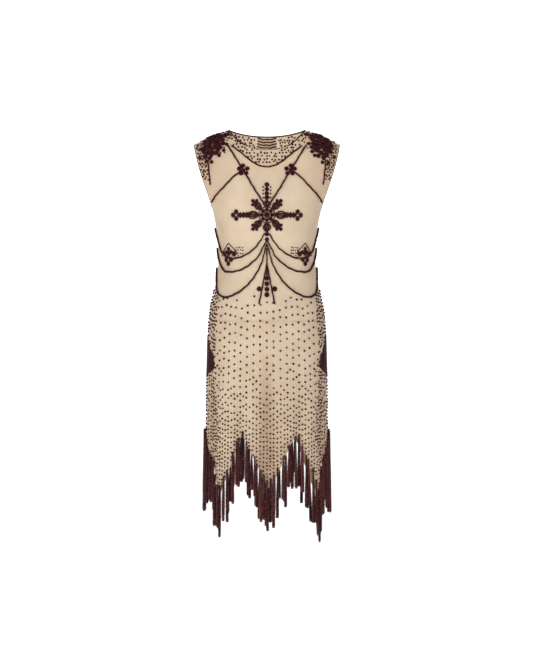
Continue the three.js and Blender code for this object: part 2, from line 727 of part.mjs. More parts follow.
// Round the neck: the tops of both panels between the neck points.
function neckEdging() {
  const tops = [FRONT, BACK].map((side) => {
    const widest = neckTurn(side) + (side === FRONT ? 1e-6 : -1e-6); // the neck points come from the front
    const columns = PANELS[side].columns.filter((column) => Math.abs(column.turn) < widest);
    return columns.map(({ points }) => ({ ...points.at(-1), away: inwards(points.at(-1).outer) }));
  });
  return edging([...tops[0], ...tops[1].reverse()]);
}

// Direction from a neckline point towards the middle of the neck opening and up.
function inwards(point) {
  const across = point.x / NECK_HALF;
  return new THREE.Vector3(-across, -Math.sign(point.y) * 0.3, 1 - Math.abs(across)).normalize();
}

// Round one armhole: the outermost columns of both panels above the armhole's foot.
function armholeEdging(hand) {
  const middle = new THREE.Vector3(hand * SHOULDER_HALF, 0, (ARMHOLE_FOOT - SHOULDER_DROP) / 2);
  const edges = [FRONT, BACK].map((side) => {
    const { columns } = PANELS[side];
    const points = (hand > 0 ? columns.at(-1) : columns[0]).points.slice(FOOT_ROW);
    return points.map((point) => ({ ...point, away: middle.clone().sub(point.outer) }));
  });
  const tip = edges[0].at(-1);
  tip.away = new THREE.Vector3(hand, 0, 0);
  return edging([...edges[0], ...edges[1].slice(1, -1).reverse()]);
}

// One point of the hem's fringe: a narrow strip along the cloth's edge with strands hanging from it, like a
// comb. Each strand has two columns of points, a left and a right one.
function fringe(side, from, to, firstUneven) {
  const perDegree = girth('half', HEM[side][0].cloth) * DEGREE;
  const stations = Array.from({ length: STRANDS_PER_POINT }, (_, k) => {
    const turn = lerp(from, to, (k + 0.5) / STRANDS_PER_POINT);
    const uneven = STRAND_UNEVEN[(k + firstUneven) % STRAND_UNEVEN.length];
    return [-0.5, 0.5].map((hand) =>
      strandColumn(side, turn + (hand * STRAND_WIDTH) / perDegree, turn, hemLevel(side, 'fringe', turn) + uneven));
  }).flat();
  const levels = stations[0].length;
  const positions = stations.flat(2).flatMap((p) => [p.x, p.y, p.z]);
  const index = [];
  const [outer, inner] = [0, 1];
  const at = (i, level, face) => (i * levels + level) * 2 + face;
  const quad = (a, b, c, d) => index.push(a, b, c, a, c, d);
  for (let i = 0; i < stations.length - 1; i++) {
    quad(at(i, 1, outer), at(i + 1, 1, outer), at(i + 1, 0, outer), at(i, 0, outer));
    quad(at(i, 0, inner), at(i + 1, 0, inner), at(i + 1, 1, inner), at(i, 1, inner));
    quad(at(i, 0, outer), at(i + 1, 0, outer), at(i + 1, 0, inner), at(i, 0, inner));
    if (i % 2) {
      quad(at(i, 1, inner), at(i + 1, 1, inner), at(i + 1, 1, outer), at(i, 1, outer));
      continue;
    }
    for (let level = 1; level < levels - 1; level++) {
      const below = level + 1;
      quad(at(i, below, outer), at(i + 1, below, outer), at(i + 1, level, outer), at(i, level, outer));
      quad(at(i, level, inner), at(i + 1, level, inner), at(i + 1, below, inner), at(i, below, inner));
      quad(at(i, level, inner), at(i, below, inner), at(i, below, outer), at(i, level, outer));
      const next = i + 1;
      quad(at(next, level, outer), at(next, below, outer), at(next, below, inner), at(next, level, inner));
    }
    const tip = levels - 1;
    quad(at(i, tip, inner), at(i + 1, tip, inner), at(i + 1, tip, outer), at(i, tip, outer));
  }
  const last = stations.length - 1;
  quad(at(0, 0, inner), at(0, 1, inner), at(0, 1, outer), at(0, 0, outer));
  quad(at(last, 0, outer), at(last, 1, outer), at(last, 1, inner), at(last, 0, inner));
  return facingOut(positions, index);
}

// One column of a strand, as pairs of outer and inner points, at the strip's top, the root, the middle and
// the tip.
function strandColumn(side, turn, middle, end) {
  const hem = hemLevel(side, 'cloth', turn);
  const root = hem - STRIP.below;
  const hang = (z, width) => {
    const nearer = lerp(middle, turn, width);
    const drift = clothPoint(side, nearer, z).sub(clothPoint(side, turn, root));
    const inset = ((1 - width) * STRAND_DEPTH) / 2;
    return [STRAND_DEPTH - inset, inset].map((out) => onCloth(side, turn, root, LIFT + out).add(drift));
  };
  const top = [STRIP.thickness, 0].map((out) => onCloth(side, turn, hem + STRIP.above, LIFT + out));
  return [top, hang(root, 1), hang(lerp(root, end, 0.5), 1), hang(end, STRAND_TIP)];
}

// The wall between two rows of a side's points.
function panelGeometry({ columns }, from, to) {
  const all = columns[0].points.map((_, j) => columns.map((column) => column.points[j]));
  const rows = all.slice(from, to);
  return wall(rows.map((row) => row.map((p) => p.outer)), rows.map((row) => row.map((p) => p.inner)));
}

const dress = new THREE.Group();
const finishes = {
  net: new THREE.MeshStandardMaterial({ color: COLOURS.net, roughness: 0.75, metalness: 0 }),
  beads: new THREE.MeshStandardMaterial({ color: COLOURS.beads, roughness: 0.3, metalness: 0.1 }),
  edging: new THREE.MeshStandardMaterial({ color: COLOURS.edging, roughness: 0.45, metalness: 0 }),
};

function add(name, geometry, finish) {
  geometry.computeVertexNormals();
  const mesh = new THREE.Mesh(geometry, finish);
  mesh.name = name;
  dress.add(mesh);
}

const HANDS = { right: 1, left: -1 };

for (const side of [FRONT, BACK]) {
  add('bodice_' + side, panelGeometry(PANELS[side], FIRST_BODICE_ROW), finishes.net);
  add('skirt_' + side, panelGeometry(PANELS[side], 0, FIRST_BODICE_ROW), finishes.net);
}
add('neck_edging', neckEdging(), finishes.edging);
add('yoke_line', cord(FRONT, mirroredRoute(FRONT, YOKE_LINE)), finishes.beads);
add('breast_star', breastStar(), finishes.beads);
add('star_finial', joined(beadedStem(FINIAL.top, FINIAL.bottom, FINIAL.beads)), finishes.beads);
add('festoon_upper', upperFestoon(), finishes.beads);
add('festoon_middle', cord(FRONT, mirroredRoute(FRONT, FESTOONS.middle)), finishes.beads);
add('festoon_lower', cord(FRONT, mirroredRoute(FRONT, FESTOONS.lower)), finishes.beads);
add('centre_drop', centreDrop(), finishes.beads);
for (const [level, rows] of Object.entries(BACK_FESTOONS)) {
  add('festoon_back_' + level, cord(BACK, mirroredRoute(BACK, rows)), finishes.beads);
}
for (const [name, hand] of Object.entries(HANDS)) {
  add('armhole_edging_' + name, armholeEdging(hand), finishes.edging);
  add('chest_cords_' + name, chestCords(hand), finishes.beads);
  add('shoulder_cluster_' + name, shoulderCluster(FRONT, hand), finishes.beads);
  add('shoulder_cluster_back_' + name, shoulderCluster(BACK, hand), finishes.beads);
  add('hip_leaf_' + name, hipLeaf(hand), finishes.beads);
}
for (const side of [FRONT, BACK]) {
  add(`fringe_${side}_centre`, fringe(side, ...VALLEYS[side], 0), finishes.beads);
  add(`fringe_${side}_right`, fringe(side, VALLEYS[side][1], SIDE_TURN, 3), finishes.beads);
  add(`fringe_${side}_left`, fringe(side, -SIDE_TURN, VALLEYS[side][0], 7), finishes.beads);
}

export default dress;
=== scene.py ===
"""A sleeveless beaded evening dress in its worn shape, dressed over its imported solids.

Sizes are in millimetres in the tables and classes, and in metres in Blender. +Z is up, +X is to the
viewer's right and the front faces -Y. The origin is level with the neck points of the shoulder seams.
"""

from __future__ import annotations

import logging
import math
import random
from collections.abc import Callable, Iterable, Sequence
from dataclasses import dataclass, field
from enum import Enum

import bmesh
import bpy
import numpy as np
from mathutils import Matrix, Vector

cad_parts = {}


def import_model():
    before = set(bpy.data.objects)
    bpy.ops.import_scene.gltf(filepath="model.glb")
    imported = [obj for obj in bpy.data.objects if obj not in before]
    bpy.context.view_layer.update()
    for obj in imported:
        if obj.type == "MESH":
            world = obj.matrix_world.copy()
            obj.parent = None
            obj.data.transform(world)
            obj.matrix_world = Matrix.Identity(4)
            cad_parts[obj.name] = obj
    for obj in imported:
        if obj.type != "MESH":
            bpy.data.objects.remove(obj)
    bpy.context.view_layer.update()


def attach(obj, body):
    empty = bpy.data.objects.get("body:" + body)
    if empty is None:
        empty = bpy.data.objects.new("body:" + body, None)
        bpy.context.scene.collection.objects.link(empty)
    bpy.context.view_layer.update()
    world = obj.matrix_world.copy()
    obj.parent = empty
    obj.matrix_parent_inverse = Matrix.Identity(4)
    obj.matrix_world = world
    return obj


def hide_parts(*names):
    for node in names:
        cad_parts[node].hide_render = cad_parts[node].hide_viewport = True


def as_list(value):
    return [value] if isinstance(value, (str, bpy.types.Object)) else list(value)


log = logging.getLogger("dress")

MM = 0.001
NECK_HALF = 104.0
NECK_DROP = {"front": 57.0, "back": 15.5}
NECK_CURVE = {"front": 2.6, "back": 2.2}
SHOULDER_HALF = 197.5
SHOULDER_DROP = 39.0
SHOULDER_ROLL = 80.0
SHOULDER_ARC = 62.0
ARMHOLE_FOOT = -212.0
ARMHOLE_REACH = {"front": 45.0, "back": 40.0}
FOLD_GROWTH = 170.0
HEM_ROUNDING = 0.35
WAIST_SEAM = -520.0
# from LOWER_SKIRT down, the cloth's colour also takes painted shade at its middle
LOWER_SKIRT = -560.0  # from here down the beads stand closer and the cloth turns darker at its middle
THREAD_PITCH = 3.25  # degrees round the skirt between two of the threads that carry its beads
SIDE_TURN = 90.0
BODY = "root"
UV_PER_RADIAN = 1.5
UV_UNIT = 100  # millimetres to one unit of a cloth's UV map
TAILS = 3  # a fold or a crease ends at this many times its own spread
CREASE_SCALE = 2.4  # millimetres to a degree round the body, for the creases
CREASE_REACH = 160  # no crease moves the cloth farther round the body from its start than this
ROUTE_LEVEL = -400.0  # the girth here measures the steps along each route
CURVE_STEPS = 24  # points on each span of a smooth curve before it is cut into even steps
TINY = 1e-6
FACET_ROOM = 1.1  # a bead of few faces is made larger by this, so that it covers as much as a round one
WAVE_TEXTURE_RATE = 20  # the wave texture's own factor on its scale


class Side(Enum):
    """The dress's two panels, with the direction of each along Y."""

    FRONT = -1
    BACK = 1

    @property
    def label(self) -> str:
        """The panel's name in the tables."""
        return self.name.lower()


class Part(Enum):
    """What each side of the dress is sewn from, above and below its low waist seam."""

    BODICE = "bodice"
    SKIRT = "skirt"


Colour = tuple[float, float, float]
Cloth = tuple[Side, Part]
Row = tuple[float, float]  # share of the half width, level
Place = tuple[float, float]  # turn from a panel's centre, level
Spot = tuple[float, float, float]  # distance across, distance up, radius of the flower there

FRONT_BODICE: Cloth = (Side.FRONT, Part.BODICE)
BACK_BODICE: Cloth = (Side.BACK, Part.BODICE)


@dataclass(frozen=True)
class Girth:
    """The dress's size round the body at one level."""

    level: float
    half: float
    front: float
    back: float


@dataclass(frozen=True)
class Fold:
    """A soft vertical fold: where round the body, how wide, how far out, and between which levels."""

    angle: float
    spread: float
    out: float
    top: float
    foot: float = -1300.0


@dataclass(frozen=True)
class Crease:
    """A shallow crease between two places on the cloth, as angle round the body and level."""

    start: tuple[float, float]
    end: tuple[float, float]
    width: float
    out: float


@dataclass(frozen=True)
class HemMark:
    """The cloth's edge and the fringe's lowest end at one turn from a panel's centre."""

    turn: float
    cloth: float
    fringe: float


GIRTHS = (
    Girth(-1120, 168, 123, 118),
    Girth(-1000, 167, 122, 117),
    Girth(-821, 164.5, 119, 114),
    Girth(-709, 163.5, 115, 111),
    Girth(-627, 161, 111, 109),
    Girth(-554, 159, 107, 106),
    Girth(-491, 154, 102, 98),
    Girth(-445, 145, 97, 88),
    Girth(-408, 138, 93, 80),
    Girth(-362, 132.5, 91, 75),
    Girth(-327, 132, 95, 76),
    Girth(-277, 136.5, 104, 82),
    Girth(-212, 149, 110, 89),
    Girth(-159, 166, 100, 89),
    Girth(-113, 181, 84, 86),
    Girth(-75, 191, 70, 80),
    Girth(-39, 197.5, 58, 70),
    Girth(0, 199, 50, 50),
)

VALLEYS = {Side.FRONT: (-24.0, 29.0), Side.BACK: (-26.0, 26.0)}
HEM = {
    Side.FRONT: (
        HemMark(-90, -824, -1034),
        HemMark(-63, -892, -990),
        HemMark(-48, -985, -1104),
        HemMark(VALLEYS[Side.FRONT][0], -826, -945),
        HemMark(2, -968, -1086),
        HemMark(VALLEYS[Side.FRONT][1], -826, -950),
        HemMark(55, -985, -1108),
        HemMark(68, -892, -1018),
        HemMark(90, -824, -1036),
    ),
    Side.BACK: (
        HemMark(-90, -824, -1035),
        HemMark(-65, -892, -1004),
        HemMark(-51, -985, -1104),
        HemMark(VALLEYS[Side.BACK][0], -826, -950),
        HemMark(0, -965, -1084),
        HemMark(VALLEYS[Side.BACK][1], -826, -950),
        HemMark(51, -985, -1104),
        HemMark(65, -892, -1004),
        HemMark(90, -824, -1035),
    ),
}

FOLDS = (
    Fold(0, 7, -6.5, -560),
    Fold(14, 6, 3.5, -600),
    Fold(-15, 6, 3.5, -580),
    Fold(31, 6, -4.5, -620),
    Fold(-29, 6, -4, -640),
    Fold(47, 7, 4, -600),
    Fold(-46, 7, 3.5, -580),
    Fold(66, 7, -4.5, -560),
    Fold(-65, 7, -4, -590),
    Fold(109, 7, -4, -580),
    Fold(-111, 7, -4.5, -560),
    Fold(127, 6, 3.5, -600),
    Fold(-129, 6, 4, -620),
    Fold(145, 7, -5, -560),
    Fold(-147, 6, -4, -600),
    Fold(164, 6, 3.5, -600),
    Fold(-163, 6, 3, -580),
    Fold(180, 7, -5.5, -560),
    Fold(60, 8, -2.5, -200, -470),
    Fold(-62, 8, -2.5, -210, -460),
    Fold(120, 9, -2.5, -200, -480),
    Fold(-118, 9, -2.5, -210, -470),
)

# Shallow creases, listed one by one: pulls from the underarms, slack over the waist, and slight ones
# down the skirt.
CREASES = (
    Crease((72, -206), (40, -262), 7, 1.3),
    Crease((76, -228), (50, -300), 6, -1.2),
    Crease((-73, -204), (-43, -268), 7, 1.2),
    Crease((-77, -232), (-52, -296), 6, -1.3),
    Crease((56, -330), (38, -372), 6, 1.0),
    Crease((-50, -352), (-33, -398), 6, 1.1),
    Crease((20, -372), (16, -438), 6, -0.9),
    Crease((-22, -384), (-19, -446), 5, -0.9),
    Crease((8, -520), (9, -700), 5, 0.9),
    Crease((-8, -540), (-7, -760), 5, 0.8),
    Crease((22, -640), (21, -830), 5, -0.9),
    Crease((-23, -600), (-22, -800), 6, -1.0),
    Crease((39, -560), (40, -820), 5, 0.9),
    Crease((-38, -590), (-38, -840), 5, 0.9),
    Crease((56, -600), (57, -900), 6, -1.0),
    Crease((-55, -620), (-56, -910), 6, -0.9),
    Crease((108, -208), (140, -270), 8, 1.3),
    Crease((-106, -210), (-137, -266), 8, 1.3),
    Crease((128, -330), (146, -384), 7, -1.1),
    Crease((-131, -342), (-150, -390), 7, -1.0),
    Crease((153, -620), (154, -860), 6, 1.0),
    Crease((-155, -600), (-154, -850), 6, 1.0),
    Crease((172, -640), (171, -900), 6, -1.0),
    Crease((-170, -620), (-171, -880), 6, 0.9),
)

YOKE_LINE: tuple[Row, ...] = ((0.485, -45), (0.36, -65), (0.2, -91), (0.09, -101.5), (0, -104))
SHOULDER_CORD: tuple[Row, ...] = ((0.54, -43), (0.475, -67), (0.42, -88), (0.35, -112))
STAR_CORD: tuple[Row, ...] = ((0.35, -112), (0.23, -156), (0.1, -192), (0.058, -202))
UNDERARM_CORD: tuple[Row, ...] = ((0.35, -112), (0.5, -129), (0.72, -161), (0.965, -197))
FESTOONS: dict[str, tuple[Row, ...]] = {
    "upper": (
        (0, -281),
        (0.06, -287),
        (0.136, -304),
        (0.29, -328),
        (0.52, -346),
        (0.74, -349),
        (0.92, -332),
        (0.985, -290),
        (1, -266),
    ),
    "middle": (
        (0, -303),
        (0.05, -313),
        (0.11, -328),
        (0.19, -348),
        (0.43, -375),
        (0.66, -386),
        (0.87, -381),
        (0.985, -342),
        (1, -320),
    ),
    "lower": (
        (0, -312),
        (0.04, -328),
        (0.106, -362),
        (0.233, -397),
        (0.38, -424),
        (0.56, -445),
        (0.76, -455),
        (0.92, -440),
        (0.985, -398),
        (1, -374),
    ),
}
BACK_FESTOONS: dict[str, tuple[Row, ...]] = {
    "upper": ((1, -266), (0.985, -280), (0.8, -312), (0.45, -334), (0, -342)),
    "middle": ((1, -320), (0.985, -333), (0.8, -366), (0.45, -388), (0, -396)),
    "lower": ((1, -374), (0.985, -388), (0.8, -424), (0.45, -448), (0, -457)),
}
DROP_STEM: tuple[Row, ...] = ((0, -323), (0, -406))
DROP_LEG: tuple[Row, ...] = ((0, -364), (0.065, -412), (0.143, -475))
ARMHOLE_LINE: tuple[Row, ...] = ((0.84, -84), (0.86, -110), (0.9, -152))


@dataclass(frozen=True)
class Cord:
    """A string of beads: their width, their spacing, and the share of the width left halfway along."""

    width: float
    pitch: float
    middle: float = 1.0


FESTOON = Cord(6.0, 3.4, 0.72)
BACK_FESTOON = Cord(6.0, 3.4)
CHEST_CORD = Cord(5.4, 3.4)
YOKE_CORD = Cord(5.0, 3.2)
ARMHOLE_CORD = Cord(4.8, 4.0)
PEAK_CORD = Cord(3.0, 2.6)
STAR_RING = Cord(3.8, 3.0)
LEAF_MIDRIB = Cord(4.6, 2.9)
LEAF_CORD = Cord(4.3, 2.9)
STEM_CORD = Cord(4.6, 3.2)
LEG_CORD = Cord(4.8, 3.2)
HIP_RIB = Cord(3.4, 3.4)
NECK_ROW = Cord(4.5, 2.8)

# The star's leaves by their tilt: where each one ends, from the star's centre, and half its width.
STAR_LEAVES = {
    0: (58.0, 9.8),
    45: (50.0, 8.6),
    90: (38.5, 9.8),
    135: (50.0, 8.6),
    180: (58.0, 9.8),
    225: (50.0, 8.6),
    270: (46.0, 9.8),
    315: (50.0, 8.6),
}


def smooth_step(share: float) -> float:
    """A smooth rise from 0 to 1.

    Args:
        share: Where between the ends, bounded to 0 to 1.

    Returns:
        The eased share.
    """
    bounded = min(max(share, 0.0), 1.0)
    return bounded * bounded * (3 - 2 * bounded)


def blend(low: float, high: float, share: float) -> float:
    """The value at a share of the way from low to high."""
    return low + (high - low) * share


def eased_shares(count: int) -> list[float]:
    """Shares from 0 to 1 in a number of steps, closer together at both ends."""
    return [(1 - math.cos(math.pi * k / count)) / 2 for k in range(count + 1)]


class DressShape:
    """The worn shape of the cloth, the same for every piece that lies on it."""

    def __init__(self, girths: Sequence[Girth]) -> None:
        """Prepares smooth curves through the girth table.

        Args:
            girths: The table, from the lowest level up.
        """
        self.girths = girths
        self.levels = [row.level for row in girths]
        self.slopes = {name: self._slopes(name) for name in ("half", "front", "back")}

    def _slopes(self, name: str) -> list[float]:
        """Slopes of one column that never overshoot between two rows.

        Args:
            name: half, front or back.

        Returns:
            The slope at each row.
        """
        values = [getattr(row, name) for row in self.girths]
        rows = list(zip(self.levels, values))
        rises = [(b - a) / (high - low) for (low, a), (high, b) in zip(rows, rows[1:])]
        inner = [0.0 if a * b <= 0 else 2 * a * b / (a + b) for a, b in zip(rises, rises[1:])]
        return [rises[0], *inner, rises[-1]]

    def girth(self, name: str, level: float) -> float:
        """One column of the table at any level.

        Args:
            name: half, front or back.
            level: The level.

        Returns:
            The size there.
        """
        bounded = min(max(level, self.levels[0]), self.levels[-1])
        last = len(self.levels) - 2
        i = next((k for k in range(last) if self.levels[k + 1] >= bounded), last)
        low, high = getattr(self.girths[i], name), getattr(self.girths[i + 1], name)
        run = self.levels[i + 1] - self.levels[i]
        t = (bounded - self.levels[i]) / run
        bend = (2 * t - 3) * t * t
        slope_low, slope_high = self.slopes[name][i], self.slopes[name][i + 1]
        curve = run * t * (1 - t) * (slope_low * (1 - t) - slope_high * t)
        return low * (1 + bend) - high * bend + curve

    @staticmethod
    def shoulder_line(x: float) -> float:
        """Level of the shoulder seam at a distance from the centre line."""
        return -SHOULDER_DROP * (x * x - NECK_HALF**2) / (SHOULDER_HALF**2 - NECK_HALF**2)

    @staticmethod
    def neckline(side: Side, x: float) -> float:
        """Level of a panel's neckline at a distance from the centre line."""
        share = min(abs(x) / NECK_HALF, 1.0)
        return -NECK_DROP[side.label] * (1 - share ** NECK_CURVE[side.label])

    @staticmethod
    def roll(height: float) -> float:
        """Share of the full depth at a height below the shoulder seam."""
        left = 1 - min(max(height / SHOULDER_ROLL, 0.0), 1.0)
        return math.sqrt(1 - left * left)

    def reach(self, side: Side, level: float) -> float:
        """How far round its ellipse a panel reaches, in radians.

        Args:
            side: The panel.
            level: The level.

        Returns:
            The angle between the panel's centre and its edge.
        """
        if level <= ARMHOLE_FOOT:
            return math.pi / 2
        bounded = min(level, -SHOULDER_DROP - 1)
        line = self.shoulder_line(self.girth("half", bounded))
        up = (bounded - ARMHOLE_FOOT) / (line - ARMHOLE_FOOT)
        edge = 2 * ARMHOLE_REACH[side.label] * math.sqrt(up * (1 - up))
        return math.acos(edge / (self.girth(side.label, bounded) * self.roll(line - bounded)))

    @staticmethod
    def angle(side: Side, turn: float) -> float:
        """Angle round the body, 0 at the centre front, for a turn from a panel's centre."""
        return turn if side is Side.FRONT else math.copysign(180 - abs(turn), turn)

    @staticmethod
    def fold(angle: float, level: float) -> float:
        """How far the folds and creases move the cloth out at one place.

        Args:
            angle: Angle round the body.
            level: The level.

        Returns:
            The distance, below 0 for inwards.
        """
        out = 0.0
        for fold in FOLDS:
            apart = abs(angle - fold.angle)
            turn = min(apart, 360 - apart) / fold.spread
            if turn < TAILS:
                below_top = smooth_step((fold.top - level) / FOLD_GROWTH)
                above_foot = smooth_step((level - fold.foot) / FOLD_GROWTH)
                out += fold.out * (below_top * above_foot) * math.exp(-turn * turn)
        return out + sum(crease_height(crease, angle, level) for crease in CREASES)

    def point(self, side: Side, turn: float, level: float, out: float = 0.0) -> Vector:
        """A point on the cloth's outer face, or off it.

        Args:
            side: The panel.
            turn: Degrees from the panel's centre, 90 at the side seam or the armhole's edge.
            level: The level.
            out: Distance off the cloth along its outward direction.

        Returns:
            The point in millimetres.
        """
        reach = self.reach(side, level)
        phi = turn / SIDE_TURN * reach
        half, depth = self.girth("half", level), self.girth(side.label, level)
        x = half * math.sin(phi) / math.sin(reach)
        y = side.value * depth * math.cos(phi) * self.roll(self.shoulder_line(x) - level)
        across, along = math.sin(phi) * depth, side.value * math.cos(phi) * half
        length = math.hypot(across, along)
        lift = self.fold(self.angle(side, turn), level)
        place = Vector((x + across / length * lift, y + along / length * lift, level))
        return place + self.normal(side, turn, level) * out if out else place

    def normal(self, side: Side, turn: float, level: float) -> Vector:
        """The cloth's outward direction at one place.

        Args:
            side: The panel.
            turn: Turn from its centre.
            level: The level.

        Returns:
            The direction, of length 1.
        """
        step = 0.5
        across = self.point(side, turn + step, level) - self.point(side, turn - step, level)
        up = self.point(side, turn, level + step) - self.point(side, turn, level - step)
        return (across.cross(up) * -side.value).normalized()

    def turn(self, side: Side, share: float, level: float) -> float:
        """Turn from a panel's centre for a share of the half width at a level.

        Args:
            side: The panel.
            share: The share, below 0 for the viewer's left.
            level: The level.

        Returns:
            The turn in degrees.
        """
        reach = self.reach(side, level)
        bounded = min(max(share * math.sin(reach), -1.0), 1.0)
        return math.asin(bounded) / reach * SIDE_TURN

    def beside(self, side: Side, share: float, level: float, dx: float, dz: float) -> Place:
        """The turn and level at a distance in millimetres across and up from a place.

        Args:
            side: The panel.
            share: The place's share of the half width.
            level: Its level.
            dx: Distance across.
            dz: Distance up.

        Returns:
            The turn and the level.
        """
        z = level + dz
        turn = self.turn(side, share, z)
        per_degree = (self.point(side, turn + 0.5, z) - self.point(side, turn - 0.5, z)).length
        return turn + dx / per_degree, z

    @staticmethod
    def hem(side: Side, column: str, turn: float) -> float:
        """Level of the cloth's edge or of the fringe's ends, by turn from a panel's centre.

        Args:
            side: The panel.
            column: cloth or fringe.
            turn: Turn from its centre.

        Returns:
            The level.
        """
        at = min(max(turn, -SIDE_TURN), SIDE_TURN)
        marks = HEM[side]
        before, after = next(pair for pair in zip(marks, marks[1:]) if pair[1].turn >= at)
        share = (at - before.turn) / (after.turn - before.turn)
        eased = blend(share, smooth_step(share), HEM_ROUNDING)
        return blend(getattr(before, column), getattr(after, column), eased)

    def top(self, side: Side, turn: float) -> float:
        """Level of a panel's top edge on one column, found by halving.

        Args:
            side: The panel.
            turn: Turn from its centre.

        Returns:
            The level.
        """
        low, high = ARMHOLE_FOOT, 0.0
        halvings = 40
        for _ in range(halvings):
            middle = (low + high) / 2
            x = abs(self.point(side, turn, middle).x)
            edge = self.neckline(side, x) if x < NECK_HALF else self.shoulder_line(x)
            low, high = (middle, high) if middle < edge else (low, middle)
        return low

    def neck_turn(self, side: Side) -> float:
        """Turn of the column that ends at the neck point."""
        return self.turn(side, NECK_HALF / self.girth("half", 0), 0)


def crease_height(crease: Crease, angle: float, level: float) -> float:
    """How far one crease moves the cloth out at a place.

    Args:
        crease: The crease.
        angle: Angle round the body.
        level: The level.

    Returns:
        The distance, 0 well away from it.
    """
    start = (crease.start[0] * CREASE_SCALE, crease.start[1])
    run = (crease.end[0] * CREASE_SCALE - start[0], crease.end[1] - start[1])
    away = (angle * CREASE_SCALE - start[0], level - start[1])
    if abs(away[0]) > CREASE_REACH:
        return 0.0
    length = math.hypot(*run)
    along = (away[0] * run[0] + away[1] * run[1]) / length
    aside = (away[0] * run[1] - away[1] * run[0]) / length
    if abs(aside) > TAILS * crease.width or not 0 < along < length:
        return 0.0
    return crease.out * math.exp(-((aside / crease.width) ** 2)) * math.sin(math.pi * along / length)


SHAPE = DressShape(GIRTHS)


